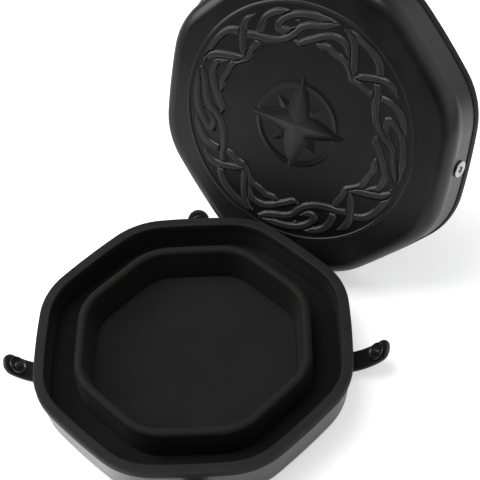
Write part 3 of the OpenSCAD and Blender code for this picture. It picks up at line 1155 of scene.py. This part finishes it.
@dataclass
class Strap:
    """One closing strap with its stitches and the two halves of its snap. Millimetres.

    The strap is drawn flat, by the distance s from the bending line and y across it, and
    then laid on its curve.
    """

    side: Side
    finishes: Finishes
    width: float = 18.0
    thick: float = 2.5
    length: float = 43.2
    root: float = 7.0
    root_x: float = 112.584
    start: float = 5.5
    curl: float = 51.0
    glue: float = 0.1
    snap_at: float = 30.9
    stud_radius: float = 7.4
    stud_post: float = 2.1
    stud_rise: float = 2.8
    cap_radius: float = 6.4
    shank: float = 1.2
    seam: float = 1.15
    edge_round: float = 0.8
    groove: float = 0.12
    groove_half: float = 0.3
    groove_from: float = 2.5
    groove_full: float = 5.0
    puff: float = 0.1
    rub_reach: float = 1.7
    thread_lift: float = 0.05
    thread_free: int = 2
    tip_steps: int = 43
    side_steps: int = 25
    root_steps: int = 9
    insets: tuple[float, ...] = (
        0, 0.06, 0.18, 0.35, 0.55, 0.75, 0.9, 1.02, 1.15, 1.28, 1.4, 1.55, 1.75, 2.1, 2.7, 3.6, 5.0, 7.0, 9.0
    )

    @property
    def bend(self) -> float:
        """Radius of the strap's curl."""
        return math.degrees(self.length / self.curl)

    @property
    def placement(self) -> Placement:
        """Where the strap's bending line lies."""
        turn = turned("Z", self.side.value)
        return Placement(turn, turn @ np.array([self.root_x, 0.0, self.root]))

    @property
    def body(self) -> str:
        """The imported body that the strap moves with."""
        return f"strap_{self.side.word}"

    def lay(self, s: np.ndarray, y: np.ndarray, w: np.ndarray) -> np.ndarray:
        """Lays flat points on the strap's curve.

        Args:
            s: Distance from the bending line.
            y: Distance across.
            w: Height over the strap's middle layer.

        Returns:
            The points in the row's frame.
        """
        start = math.radians(self.start)
        angle = start + np.maximum(s, 0.0) / self.bend
        back = np.minimum(s, 0.0)
        x = -self.bend * math.sin(start) + (self.bend - w) * np.sin(angle) + back * math.cos(start)
        z = self.bend * math.cos(start) - (self.bend - w) * np.cos(angle) + back * math.sin(start)
        return self.placement.place(np.column_stack([x, y, z]))

    def seam_path(self, inset: float) -> tuple[np.ndarray, np.ndarray]:
        """Draws a path that follows the strap's edge, round its tip.

        Args:
            inset: How far inside the edge it runs.

        Returns:
            The path's distances from the bending line, and across.
        """
        centre = self.length - self.width / 2
        r = self.width / 2 - inset
        turn = np.linspace(math.pi / 2, -math.pi / 2, self.tip_steps)
        straight = np.linspace(0.0, centre, self.side_steps + 1)[:-1]
        s = np.concatenate([straight, centre + r * np.cos(turn), straight[::-1]])
        y = np.concatenate([np.full(self.side_steps, r), r * np.sin(turn), np.full(self.side_steps, -r)])
        return s, y

    def crown(self, inset: float, s: np.ndarray) -> tuple[np.ndarray, np.ndarray]:
        """Draws the leather's soft edge, its pressed seam line and its puffed middle.

        Args:
            inset: Distance inside the edge.
            s: Distances from the bending line.

        Returns:
            The heights of the upper and of the under face over the middle layer.
        """
        r = self.edge_round
        drop = r - math.sqrt(max(r * r - max(r - inset, 0.0) ** 2, 0.0))
        groove = self.groove * math.exp(-(((inset - self.seam) / self.groove_half) ** 2))
        groove = groove * smoothstep(self.groove_from, self.groove_full, s)
        puff = self.puff * float(smoothstep(self.seam, self.seam + 1.0, np.array(inset)))
        half = self.thick / 2
        return half - drop - groove - self.puff + puff, -half + drop + 0.6 * groove

    def root_roll(self, inset: float, sign: float) -> np.ndarray:
        """Draws half a turn of the rolled root, from the upper face to the under face.

        Args:
            inset: Distance inside the edge.
            sign: 1 for the strap's left half and -1 for its right half.

        Returns:
            The points in the row's frame.
        """
        top, under = (float(height[0]) for height in self.crown(inset, np.zeros(1)))
        turn = np.linspace(math.pi / 2, -math.pi / 2, self.root_steps)
        middle, reach = (top + under) / 2, (top - under) / 2
        s = -(self.thick / 2 + self.glue) * np.cos(turn) * min(1.0, reach * 2 / self.thick + 0.1)
        y = np.full(self.root_steps, sign * (self.width / 2 - inset))
        return self.lay(s, y, middle + reach * np.sin(turn))

    def build_leather(self) -> None:
        """Makes the leather: soft edges, a pressed seam line and a rolled root."""
        faces = QuadMesh()
        upper, lower, wear = [], [], []
        for inset in self.insets:
            s, y = self.seam_path(inset)
            top, under = self.crown(inset, s)
            upper.append(self.lay(s, y, top))
            lower.append(self.lay(s, y, under))
            wear.append(np.full(len(s), max(0.0, 1.0 - inset / self.rub_reach)))
        faces.grid(upper, wear)
        faces.grid(lower, wear)
        faces.grid([upper[0], lower[0]], [wear[0], wear[0]])
        for sign in (1.0, -1.0):
            roll = [self.root_roll(inset, sign) for inset in self.insets]
            faces.grid(roll, [np.full(self.root_steps, w[0]) for w in wear])
            faces.fan(roll[0], 1.0)
        piece = faces.finish(f"leather_{self.side.word}", BLUNT)
        dress(piece, self.finishes.of("strap"), self.body, "strap_leather", f"strap_{self.side.word}")

    def build_stitches(self, tree: StitchTree) -> None:
        """Lays the thread in the pressed line, on both faces of the strap.

        Args:
            tree: The tree that makes a line a row of stitches.
        """
        s, y = (way[self.thread_free : -self.thread_free] for way in self.seam_path(self.seam))
        top, under = self.crown(self.seam, s)
        points = np.vstack([self.lay(s, y, top + self.thread_lift), self.lay(s, y, under - self.thread_lift)])
        count = len(s)
        lines = [(i, i + 1) for i in range(2 * count - 1) if i != count - 1]
        mesh = bpy.data.meshes.new("seam_line")
        mesh.from_pydata((points * MM).tolist(), lines, [])
        finish = self.finishes.of("thread")
        values = {**tree.SIZES, "Finish": finish}
        piece = tree.grow(f"stitches_{self.side.word}", add_object("seam_line", mesh), values)
        dress(piece, finish, self.body, "strap_leather")

    def snap_placement(self, height: float, flip: bool = False) -> Placement:
        """Finds the snap's axis.

        Args:
            height: Height of its origin over the strap's middle layer.
            flip: True for an axis that runs down from the strap.

        Returns:
            The placement of a fitting made up its own Z axis.
        """
        tip = self.lay(np.array([self.snap_at]), np.zeros(1), np.array([height]))[0]
        angle = self.start + math.degrees(self.snap_at / self.bend)
        turn = turned("Z", self.side.value) @ turned("Y", -angle)
        return Placement(turn @ turned("X", 180.0) if flip else turn, tip)

    def build_fitting(self, word: str, profile: Sequence[Point], place: Placement) -> None:
        """Makes one turned half of the snap.

        Args:
            word: What it is called.
            profile: Its points of (radius, height).
            place: Where its axis lies.
        """
        points, faces = revolve(word, profile)
        piece = make_object(f"{word}_{self.side.word}", place.place(points), faces, FOLDED)
        dress(piece, self.finishes.of("enamel"), self.body, "snap_black", f"snap_{word}_{self.side.word}")

    def build_stud(self) -> None:
        """Makes the snap's stud: rolled rim, sunk flange and a ball-ended post."""
        inner = self.bend - self.thick / 2
        bow = inner - math.sqrt(inner**2 - self.stud_radius**2)
        r, p, h = self.stud_radius, self.stud_post, self.stud_rise
        profile = [
            (0, 0), (r - 0.9, 0), (r - 0.35, 0.15), (r - 0.06, 0.5), (r, 0.95), (r - 0.06, 1.3),
            (r - 0.24, 1.6), (r - 0.5, 1.74), (r - 0.78, 1.7), (r - 0.98, 1.5), (r - 1.12, 1.2),
            (r - 1.4, 0.86), (r - 1.9, 0.68), (p + 1.5, 0.6), (p + 0.8, 0.64), (p + 0.35, 0.82),
            (p + 0.08, 1.12), (p - 0.04, 1.5), (p + 0.02, 1.9), (p - 0.08, 2.25), (p - 0.35, 2.52),
            (p - 0.8, 2.7), (p - 1.1, h - 0.02), (p - 1.4, h - 0.08), (p - 1.6, 2.35), (0, 2.3),
        ]
        self.build_fitting("stud", profile, self.snap_placement(self.thick / 2 + bow + self.glue))

    def build_cap(self) -> None:
        """Makes the domed cap under the strap, with a stepped rim and its shank."""
        r, seat = self.cap_radius, self.thick / 2 + self.glue
        deep = seat + self.stud_rise / 2
        dome = [
            (0.35, 0), (0.08, 0.1), (0, 0.28), (0.14, 0.44), (0.5, 0.5), (0.75, 0.46), (1.0, 0.52),
            (1.7, 0.66), (3.2, 0.83), (4.8, 0.9), (r, 0.92),
        ]
        shank = [(0, -deep), (self.shank, -deep), (self.shank, seat)]
        profile = shank + [(r - inward, seat + up) for inward, up in dome]
        self.build_fitting("cap", profile, self.snap_placement(0.0, True))

    def build(self, tree: StitchTree) -> None:
        """Makes the strap and its snap.

        Args:
            tree: The tree that makes a line a row of stitches.
        """
        self.build_leather()
        self.build_stitches(tree)
        self.build_stud()
        self.build_cap()


# ---- The lid ----------------------------------------------------------------------------


@dataclass
class Lid:
    """The deep lid that stands on edge behind the base. Millimetres.

    It is drawn with its mouth on the plane z = 0 and its top upwards, then stood up.
    """

    finishes: Finishes
    base_half: float = 120.0
    depth: float = 36.5
    band_height: float = 6.0
    band: float = 1.2
    fold: float = 1.1
    gap: float = 0.6
    overlap: float = 24.0
    draft: float = 10.0
    shoulder_round: float = 12.5
    skin: float = 0.8
    wall: float = 1.0
    lining: float = 0.4
    glue: float = 0.1
    play: float = 0.3
    edge: float = 0.8
    socket_height: float = 16.0
    socket_radius: float = 6.8
    socket_thick: float = 1.5
    socket_hole: float = 2.2
    rivet_radius: float = 1.2
    rivet_head: float = 4.2
    rivet_thick: float = 0.6
    place_x: float = 104.7
    place_y: float = 165.1
    heading: float = -119.9
    lean: float = 21.1
    wall_steps: int = 6
    shoulder_steps: int = 17
    fitting_steps: int = 56
    rub_from: float = 20.0
    rub: float = 0.5
    outline: Outline = Outline(half=120.0, flat_radius=550.0, corner_radius=59.0)

    @property
    def layers(self) -> float:
        """Thickness of skin, shell and lining with their glue."""
        return self.skin + self.wall + self.lining + 2 * self.glue

    @property
    def slope(self) -> float:
        """How much the wall closes in for each millimetre of height."""
        return math.tan(math.radians(self.draft))

    @property
    def mouth(self) -> float:
        """Half width of the skin at the mouth."""
        return self.base_half + self.gap + self.layers + self.overlap * self.slope

    @property
    def placement(self) -> Placement:
        """Where the lid stands.

        Returns:
            The placement, its lowest edge on the table.
        """
        lean = math.radians(self.lean)
        rise = (self.mouth + self.band) * math.cos(lean) - self.edge * math.sin(lean)
        turn = turned("Z", self.heading + 90) @ turned("X", 90 - self.lean)
        return Placement(turn, np.array([self.place_x, self.place_y, rise]))

    def wall_at(self, height: float) -> float:
        """Returns the skin's half width at a height over the mouth."""
        return self.mouth - height * self.slope

    def section(self, depth: float) -> list[Point]:
        """Draws the lid's section.

        Args:
            depth: How far it lies under the skin's face.

        Returns:
            Its points of (half width, height), from the mouth to the top.
        """
        low, shoulder = self.fold + self.glue, self.depth - self.shoulder_round
        r, middle = self.shoulder_round - depth, self.wall_at(shoulder) - self.shoulder_round
        rise = [(self.wall_at(z) - depth, z) for z in np.linspace(low, shoulder, self.wall_steps)[:-1]]
        turns = np.linspace(0, math.pi / 2, self.shoulder_steps)
        return rise + [(middle + r * math.cos(a), shoulder + r * math.sin(a)) for a in turns]

    def stood(self, profile: Sequence[Point]) -> list[np.ndarray]:
        """Returns a ring for each point of a profile, where the lid stands."""
        return [self.placement.place(ring) for ring in self.outline.rings(profile)]

    def build_layer(self, name: str, outer: float, inner: float, word: str, slot: str, node: str) -> None:
        """Makes the layer of the lid between two depths.

        Args:
            name: The piece's name.
            outer: Depth of its outer face under the skin's face.
            inner: Depth of its inner face.
            word: The finish.
            slot: The record's material slot.
            node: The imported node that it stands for.
        """
        inside, out = self.section(inner)[::-1], self.section(outer)
        edge = self.wall_at(self.rub_from)
        worn_and_lit = [0.0] * len(inside) + [0.0 if x > edge else self.rub for x, _ in out]
        piece = loft(name, self.stood(inside + out), worn_and_lit, sharp=FOLDED)
        dress(piece, self.finishes.of(word), "lid", slot, node)

    def build_band(self) -> None:
        """Makes the bound edge round the mouth."""
        out, low, high = self.mouth + self.band, self.fold, self.band_height
        skin_low, skin_high = self.wall_at(low) + self.glue, self.wall_at(high) + self.glue
        inner_low = self.wall_at(low + self.glue) - self.layers - self.glue
        inner_high = self.wall_at(high) - self.layers - self.glue
        profile = rounded([
            (inner_low, low, 0), (inner_high, high, 0), (inner_high - self.fold, high, 0.35),
            (inner_low - self.fold, 0, 0.8), (out, 0, 1.0), (skin_high + 0.55, high, 0.4),
            (skin_high, high, 0), (skin_low, low, 0),
        ], 7)
        wear = [1.0 if x > out - 1.0 else 0.0 for x, _ in profile]
        piece = loft("lid_rim", self.stood(profile), wear, closed=True)
        dress(piece, self.finishes.of("edging"), "lid", "rim_band", "lid_mouth_band")

    def build_fittings(
        self, name: str, node: str, profile: Sequence[Point], tree: AroundTree, dark: float = 0.0
    ) -> None:
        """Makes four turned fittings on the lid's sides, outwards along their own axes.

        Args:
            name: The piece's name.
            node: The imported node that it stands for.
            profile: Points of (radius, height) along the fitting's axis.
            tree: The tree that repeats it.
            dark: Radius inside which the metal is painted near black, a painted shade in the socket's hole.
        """
        points, faces = revolve(name, profile, self.fitting_steps)
        # Painted shade in the socket's hole, carried by the wear attribute.
        painted_hole_shade = (np.hypot(points[:, 0], points[:, 1]) < dark).astype(float)
        at = np.array([self.wall_at(self.socket_height), 0.0, self.socket_height])
        seat = Placement(turned("Y", 90 - self.draft), at)
        seed = make_object(f"{name}_seed", seat.place(points), faces, FOLDED, painted_hole_shade)
        finish = self.finishes.of("nickel")
        dress(moved(tree.four(name, seed, finish), self.placement), finish, "lid", "snap_steel", node)

    def build_snaps(self, tree: AroundTree) -> None:
        """Makes the four sockets and the rivets that hold them.

        Args:
            tree: The tree that repeats a fitting round the lid.
        """
        r, low, high, hole = self.socket_radius, self.play, self.play + self.socket_thick, self.socket_hole
        ring = [
            (hole, low), (r - 0.4, low), (r - 0.08, low + 0.14), (r, low + 0.42), (r - 0.02, low + 0.85),
            (r - 0.22, low + 1.2), (r - 0.6, high - 0.06), (r - 1.0, high), (r - 1.5, high - 0.05),
            (r - 2.0, high - 0.25), (r - 2.5, high - 0.5), (hole + 1.5, high - 0.66),
            (hole + 0.95, high - 0.6), (hole + 0.6, high - 0.42), (hole + 0.32, high - 0.45),
            (hole + 0.2, high - 0.6), (hole, high - 0.8),
        ]
        self.build_fittings("lid_sockets", "lid_snap_sockets", ring, tree, hole + 0.5)
        face, head, pin = -(self.layers + self.play), self.rivet_head, self.rivet_radius
        back, tip = face - self.rivet_thick, self.play + self.socket_thick / 2
        rivet = [
            (0, back), (head - 2.2, back + 0.02), (head - 1.0, back + 0.1), (head - 0.3, back + 0.28),
            (head, face - 0.2), (head - 0.12, face), (pin, face), (pin, tip - 0.35), (pin - 0.35, tip - 0.04),
            (0, tip),
        ]
        self.build_fittings("lid_rivets", "lid_snap_rivets", rivet, tree)

    def build(self, tree: AroundTree) -> None:
        """Makes every piece of the lid but the roundel.

        Args:
            tree: The tree that repeats a fitting round the lid.
        """
        shell, lining = self.skin + self.glue, self.skin + self.wall + 2 * self.glue
        layers = (
            ("lid_cover", 0.0, self.skin, "lid_skin", "lid_leatherette", "lid_skin_cover"),
            ("lid_shell_moulding", shell, shell + self.wall, "pressed_foam", "moulded_foam", "lid_shell"),
            ("lid_cloth", lining, self.layers, "lining", "lining_cloth", "lid_lining"),
        )
        for layer in layers:
            self.build_layer(*layer)
        self.build_band()
        self.build_snaps(tree)


class Interlace:
    """The knotwork band: a quarter of it, drawn as strands that pass over those before.

    Each strand is a list of (turn in degrees, radius in millimetres) from one quarter's
    start, clockwise as seen from outside. It runs to a point at both ends, and its round
    top has a furrow down the middle.
    """

    PERIOD = 90.0
    MARGIN = 8.0
    INWARD = 1.4
    STEPS = 6
    HALF_WIDTH = 2.8
    HEIGHT = 1.9
    ROUNDNESS = 2.4
    FURROW = 0.17
    FURROW_HALF = 0.3
    POINT = 0.3
    TAPER = 9.0
    SUNK_NEAR = 0.1
    SUNK_FAR = 1.5
    REACH = 9.0
    FAR = 99.0
    TINY = 1e-9
    STRANDS: tuple[tuple[Point, ...], ...] = (
        (
            (3, 72), (8, 70.5), (13, 71.5), (19, 70.3), (25, 70.8), (30, 69.5), (35, 66.5), (39, 65.2),
            (44, 67.8), (50, 70), (54, 74.5), (57, 79.5), (60, 84), (64, 88), (69, 90.2), (74, 90),
            (78, 87.5), (82, 85),
        ),
        (
            (-11, 69), (-7, 67), (-2, 70), (3, 73.5), (8, 78), (13, 81.5), (18, 82.5), (22, 81.5),
            (25, 78), (28, 74),
        ),
        (
            (-9, 79), (-13, 76.5), (-18, 76.5), (-21, 79), (-19, 82.5), (-15, 86), (-10, 88.5), (-5, 90),
            (0, 91), (5, 91.5), (9, 91.5), (13, 92.5),
        ),
        (
            (17, 91.5), (25, 92.2), (33, 92.3), (39, 91), (43, 88), (46, 84), (48, 80.5), (52, 77.5),
            (57, 73), (63, 70), (69, 69), (75, 70.5), (80, 74.5), (84, 79.5), (89, 82.5), (94, 84.5),
            (99, 88), (103, 92),
        ),
        ((18, 92.5), (23, 88), (26, 83), (29, 77.5), (32, 72.5), (35, 69), (37, 67)),
        ((37, 67), (40, 72), (44, 79), (48, 86), (52, 90), (57, 91.5)),
    )

    def strand(self, knots: Sequence[Point]) -> np.ndarray:
        """Draws a smooth run through a strand's points.

        Args:
            knots: The strand's points.

        Returns:
            The run's points, as (turn, radius).
        """
        p = np.array(knots, dtype=float)
        p = np.vstack([2 * p[0] - p[1], p, 2 * p[-1] - p[-2]])
        t = np.linspace(0, 1, self.STEPS + 1)[:-1, None]
        run = []
        for a, b, c, d in zip(p, p[1:], p[2:], p[3:]):
            square, cube = 2 * a - 5 * b + 4 * c - d, 3 * b - a - 3 * c + d
            run.append(0.5 * (2 * b + (c - a) * t + square * t**2 + cube * t**3))
        return np.vstack([*run, p[-2][None]]) - np.array([0.0, self.INWARD])

    def relief(self, turn: np.ndarray, radius: np.ndarray) -> np.ndarray:
        """Draws the band at points of the first quarter.

        Args:
            turn: Degrees clockwise from the quarter's start, from 0 to 90.
            radius: Distance from the roundel's centre.

        Returns:
            The height over the ground, 0 outside the strands.
        """
        angle = np.radians(-turn)
        x, y = radius * np.cos(angle), radius * np.sin(angle)
        height = np.zeros_like(radius)
        for knots in self.STRANDS:
            run = self.strand(knots)
            for lap in (-self.PERIOD, 0.0, self.PERIOD):
                turns = run[:, 0] + lap
                if turns.max() < -self.MARGIN or turns.min() > self.PERIOD + self.MARGIN:
                    continue
                swing = np.radians(-turns)
                gap = self.gap(x, y, run[:, 1] * np.cos(swing), run[:, 1] * np.sin(swing))
                height = self.lay_over(height, gap)
        return height

    def gap(self, x: np.ndarray, y: np.ndarray, px: np.ndarray, py: np.ndarray) -> np.ndarray:
        """Measures how far points lie from a strand's middle.

        Args:
            x: Each point's place across the roundel.
            y: Each point's place up the roundel.
            px: The strand's points across.
            py: The strand's points up.

        Returns:
            The distances, longer by as much as the strand is thinner there.
        """
        gap = np.full(x.shape, self.FAR)
        for ax, ay, dx, dy, share in zip(px, py, np.diff(px), np.diff(py), self.widths(px, py)):
            near = (np.abs(x - ax) < self.REACH) & (np.abs(y - ay) < self.REACH)
            if not near.any():
                continue
            to_x, to_y = x[near] - ax, y[near] - ay
            t = np.clip((to_x * dx + to_y * dy) / (dx * dx + dy * dy + self.TINY), 0, 1)
            gap[near] = np.minimum(gap[near], np.hypot(to_x - t * dx, to_y - t * dy) / share)
        return gap

    def widths(self, x: np.ndarray, y: np.ndarray) -> np.ndarray:
        """Narrows a strand towards its ends.

        Args:
            x: The strand's points across.
            y: The strand's points up.

        Returns:
            Each segment's share of the full width.
        """
        along = np.concatenate([[0.0], np.cumsum(np.hypot(np.diff(x), np.diff(y)))])
        middle = (along[1:] + along[:-1]) / 2
        to_end = np.minimum(middle, along[-1] - middle)
        return self.POINT + (1 - self.POINT) * smoothstep(0.0, self.TAPER, to_end)

    def lay_over(self, height: np.ndarray, gap: np.ndarray) -> np.ndarray:
        """Lays a strand over what is there, which sinks beside it.

        Args:
            height: What is there.
            gap: Each point's distance from the strand's middle.

        Returns:
            The new heights.
        """
        across = np.clip(gap / self.HALF_WIDTH, 0, 1)
        dome = np.sqrt(np.maximum(1 - across**self.ROUNDNESS, 0.0))
        rib = self.HEIGHT * (dome - self.FURROW * np.exp(-((across / self.FURROW_HALF) ** 2)))
        sunk = height * smoothstep(self.HALF_WIDTH + self.SUNK_NEAR, self.HALF_WIDTH + self.SUNK_FAR, gap)
        return np.where(gap < self.HALF_WIDTH, np.maximum(rib, 0.0), sunk)


@dataclass(frozen=True)
class Star:
    """A faceted four-pointed star, whose ridges run out to its points. Millimetres."""

    outer: float
    inner: float
    turn: float
    depth: float
    points: int = 4

    def inside(self, x: np.ndarray, y: np.ndarray) -> np.ndarray:
        """Measures how far points lie inside the star's outline.

        Args:
            x: Each point's place across the roundel.
            y: Each point's place up the roundel.

        Returns:
            The distances, 0 outside.
        """
        sector = 2 * math.pi / self.points
        angle = np.arctan2(y, x) - math.radians(self.turn)
        folded = np.abs((angle + sector / 2) % sector - sector / 2)
        r = np.hypot(x, y)
        px, py = r * np.cos(folded), r * np.sin(folded)
        nx, ny = self.inner * math.cos(sector / 2), self.inner * math.sin(sector / 2)
        ex, ey = nx - self.outer, ny
        return np.maximum((ex * py - ey * (px - self.outer)) / math.hypot(ex, ey), 0.0)


@dataclass
class Roundel:
    """The embossed roundel on the lid: a ring, the knotwork and an eight-pointed star.

    Its zones are the (first radius, last radius, rings) that its relief is drawn on: the
    star and its circle, the knotwork, and the ring.
    """

    lid: Lid
    finishes: Finishes
    ring: float = 96.8
    ring_half: float = 1.3
    ring_height: float = 0.75
    ground: float = 0.06
    sunk: float = 0.15
    hem: float = 0.3
    shift: Point = (-3.0, 1.0)
    columns: int = 640
    zones: tuple[tuple[float, float, int], ...] = ((0.8, 61.6, 54), (62.2, 93.8, 73), (94.2, 98.6, 12))
    circle: float = 33.0
    circle_half: float = 1.3
    circle_height: float = 0.7
    stars: tuple[Star, ...] = (Star(27.0, 12.0, 45.0, 0.8), Star(42.0, 15.0, 0.0, 1.0))
    star_foot: float = 0.12
    star_rise: float = 1.9
    star_ease: float = 0.17
    # Relief height at which the painted crest highlight is full.
    rub_height: float = 1.5

    def hoop(self, r: np.ndarray, at: float, half: float, rise: float) -> np.ndarray:
        """Returns, at radii r, the height of a round ring of that radius, half width and rise."""
        return np.sqrt(np.maximum(1 - ((r - at) / half) ** 2, 0.0)) * rise

    def emblem(self, x: np.ndarray, y: np.ndarray) -> np.ndarray:
        """Draws the star and the thin circle beneath it.

        Args:
            x: Each point's place across the roundel.
            y: Each point's place up the roundel.

        Returns:
            The heights.
        """
        height = self.hoop(np.hypot(x, y), self.circle, self.circle_half, self.circle_height)
        for star in self.stars:
            inside = star.inside(x, y)
            rise = star.depth * self.star_rise * (1 - np.exp(-self.star_ease * inside))
            height = np.where(inside > 0, self.star_foot + rise, height)
        return height

    def relief(self, radii: np.ndarray) -> tuple[np.ndarray, np.ndarray, np.ndarray]:
        """Draws the whole relief; the knotwork's quarter is drawn once.

        Args:
            radii: The radii of its rings of points.

        Returns:
            Each point's place across and up the roundel, and its height.
        """
        quarter = self.columns // 4
        turn = np.arange(quarter) * Interlace.PERIOD / quarter
        band = np.hstack([Interlace().relief(*np.meshgrid(turn, radii))] * 4)
        angle = np.radians(-np.concatenate([turn + Interlace.PERIOD * k for k in range(4)]))
        x, y = radii[:, None] * np.cos(angle), radii[:, None] * np.sin(angle)
        rim = self.hoop(radii, self.ring, self.ring_half, self.ring_height)
        return x, y, np.maximum(np.maximum(band, self.emblem(x, y)), rim[:, None])

    def build(self) -> None:
        """Makes the roundel as one closed relief on the lid's top, its crests painted paler as a highlight.
        """
        radii = np.concatenate([np.linspace(*zone) for zone in self.zones])
        x, y, height = self.relief(radii)
        top = self.lid.depth + self.ground + height
        sheet = np.stack([x + self.shift[0], y + self.shift[1], top], axis=-1)[:, ::-1]
        hem = sheet[-1].copy()
        outward = hem[:, :2] - np.array(self.shift)
        hem[:, :2] += outward / np.linalg.norm(outward, axis=1)[:, None] * self.hem
        hem[:, 2] = self.lid.depth - self.sunk
        points = np.vstack([sheet.reshape(-1, 3), hem, [[*self.shift, top[0].mean()]]])
        n, count, pole = self.columns, len(radii), len(points) - 1
        faces: list[Sequence[int]] = []
        for i in range(count):
            faces += strip_faces(n, i + 1, i)
        faces += [(j, (j + 1) % n, pole) for j in range(n)]
        faces.append(tuple(count * n + j for j in range(n))[::-1])
        # Painted highlight: each point's wear attribute grows with its relief height, so the crests render
        # paler.
        wear = np.concatenate([height[:, ::-1].reshape(-1), np.zeros(n + 1)])
        worn_and_lit = np.clip(wear / self.rub_height, 0, 1)
        piece = make_object("lid_roundel", self.lid.placement.place(points), faces, BLUNT, worn_and_lit)
        dress(piece, self.finishes.of("lid_skin"), "lid", "lid_leatherette")


# ---- The studio -------------------------------------------------------------------------


@dataclass
class Studio:
    """The pale floor, the soft lights and the camera. Metres and watts."""

    floor_half: float = 0.9
    floor_cells: int = 8
    floor_tints: tuple[Colour, Colour] = ((0.84, 0.84, 0.845), (0.86, 0.86, 0.865))
    # Floor colour seen only in reflections behind and left of the chest: a painted reflection.
    hidden_tint: Colour = (0.25, 0.25, 0.25)
    room: float = 0.02
    ambient: float = 0.5
    brightest: float = 1.5
    glow: float = 0.5
    front_glow: float = 0.3
    left_glow: float = 1.1
    right_glow: float = 1.0
    key_place: Place = (-1.25, 0.35, 0.85)
    key_size: float = 1.1
    key_power: float = 19.0
    top_place: Place = (-0.35, 0.1, 1.7)
    top_size: float = 0.9
    top_power: float = 14.0
    aim: Place = (0.02, 0.02, 0.06)
    eye: Place = (0.076009, -0.608912, 0.853065)
    gaze: Place = (-0.03729, 0.65817, -0.75194)
    roll: float = -4.8098
    lens: float = 100.02
    sensor: float = 36.0
    sight: float = 20.0

    def lamp(self, name: str, place: Place, size: float, power: float) -> None:
        """Adds a square soft light that looks at the chest.

        Args:
            name: Its name.
            place: Where it hangs.
            size: Its width.
            power: Its power.
        """
        data = bpy.data.lights.new(name, "AREA")
        data.size, data.energy = size, power
        toward = (Vector(self.aim) - Vector(place)).to_track_quat("-Z", "Y").to_matrix().to_4x4()
        add_object(name, data).matrix_world = Matrix.Translation(place) @ toward

    def build_world(self) -> None:
        """Makes the room: white where it is seen, dimmer where it only lights."""
        world = bpy.data.worlds.new("room")
        bpy.context.scene.world = world
        world.use_nodes = True
        g = Graph(world.node_tree)
        x, y, z = g.parts(g.node("TexCoord", output="Generated"))
        right = (x * 0.9 - y * 0.3).ramp(0.05, 0.85)
        window = right * z.ramp(0.0, 0.2)
        behind, above = y.ramp(0.2, 0.95), z.ramp(0.3, 0.95)
        mirrored = self.room + right * 0.5 + window * 0.9 + behind * 0.3 + above * 0.15
        mirrored = mirrored.at_most(self.brightest)
        seen, glossy = g.rays("Camera", "Glossy")
        strength = seen + (1.0 - seen) * (glossy * mirrored + (1.0 - glossy) * self.ambient)
        room = g.node("Background", None, {"Color": (1.0, 1.0, 1.0), "Strength": strength})
        g.add("OutputWorld", None, {"Surface": room})

    def floor_material(self) -> bpy.types.Material:
        """Makes the floor's look: matte, glowing where it is seen or mirrored, and painted darker in
        reflections behind and left of the chest.

        Returns:
            The material.
        """
        material, g = new_material("pale_floor")
        place = g.place()
        x, y = g.parts(place)[:2]
        leftward, forward = x * -1.0, y * -1.0
        seen, glossy, passed = g.rays("Camera", "Glossy", "Transmission")
        mirrored = glossy.at_least(passed)
        left = leftward.ramp(0.03, 0.1) * forward.ramp(0.03, 0.12) * (1.0 - leftward.ramp(0.28, 0.4))
        ahead = g.blend(x.ramp(0.22, 0.34), (self.front_glow,) * 3, (self.right_glow,) * 3)
        reflected = g.blend(left, ahead, (self.left_glow,) * 3)
        # Painted reflection: in glossy rays the floor's colour turns dark behind and left of the chest, so
        # the lid's shoulder mirrors a dimmer floor.
        hidden = mirrored * y.ramp(0.1, 0.25) * leftward.ramp(-0.1, 0.02)
        tint = g.blend(hidden, g.blend(g.noise(place, 30.0, 2.0), *self.floor_tints), self.hidden_tint)
        look = {"Base Color": tint, "Roughness": 0.75, "Specular IOR Level": 0.25}
        matte = g.node("BsdfPrincipled", None, look)
        colour = g.blend(seen, reflected, (self.glow,) * 3)
        glow = g.node("Emission", None, {"Color": colour, "Strength": seen.at_least(mirrored)})
        g.add("OutputMaterial", None, {"Surface": g.node("AddShader", None, {0: matte, 1: glow})})
        return material

    def build_floor(self) -> None:
        """Makes the pale floor, which keeps the chest's shadow."""
        n, half = self.floor_cells, self.floor_half / MM
        steps = np.linspace(-half, half, n + 1)
        points = [(x, y, 0.0) for y in steps for x in steps]
        corners = [i * (n + 1) + j for i in range(n) for j in range(n)]
        floor = make_object("floor", np.array(points), [(a, a + 1, a + n + 2, a + n + 1) for a in corners])
        floor.data.materials.append(self.floor_material())

    def build_camera(self) -> None:
        """Sets the camera where the photograph was taken from."""
        camera = bpy.data.cameras.new("camera")
        camera.lens, camera.sensor_width, camera.clip_end = self.lens, self.sensor, self.sight
        forward = Vector(self.gaze).normalized()
        level = forward.cross(Vector((0, 0, 1))).normalized()
        rise = level.cross(forward)
        turn = math.radians(self.roll)
        right = level * math.cos(turn) + rise * math.sin(turn)
        up = rise * math.cos(turn) - level * math.sin(turn)
        matrix = Matrix((right, up, -forward)).transposed().to_4x4()
        matrix.translation = Vector(self.eye)
        eye = add_object("camera", camera)
        eye.matrix_world = matrix
        bpy.context.scene.camera = eye

    def build(self) -> None:
        """Makes the floor, room, lights and camera."""
        self.build_floor()
        self.build_world()
        self.lamp("key", self.key_place, self.key_size, self.key_power)
        self.lamp("top", self.top_place, self.top_size, self.top_power)
        self.build_camera()
        bpy.context.scene.view_settings.view_transform = "Standard"


def main() -> None:
    """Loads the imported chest, dresses it and lights it."""
    logging.basicConfig(level=logging.INFO, format="%(name)s: %(message)s")
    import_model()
    finishes = Finishes()
    Studio().build()
    base = Base(finishes)
    base.build()
    Core(base, finishes).build()
    stitches = StitchTree()
    for side in Side:
        Strap(side, finishes).build(stitches)
    lid = Lid(finishes)
    lid.build(AroundTree())
    Roundel(lid, finishes).build()


if __name__ == "__main__":
    main()
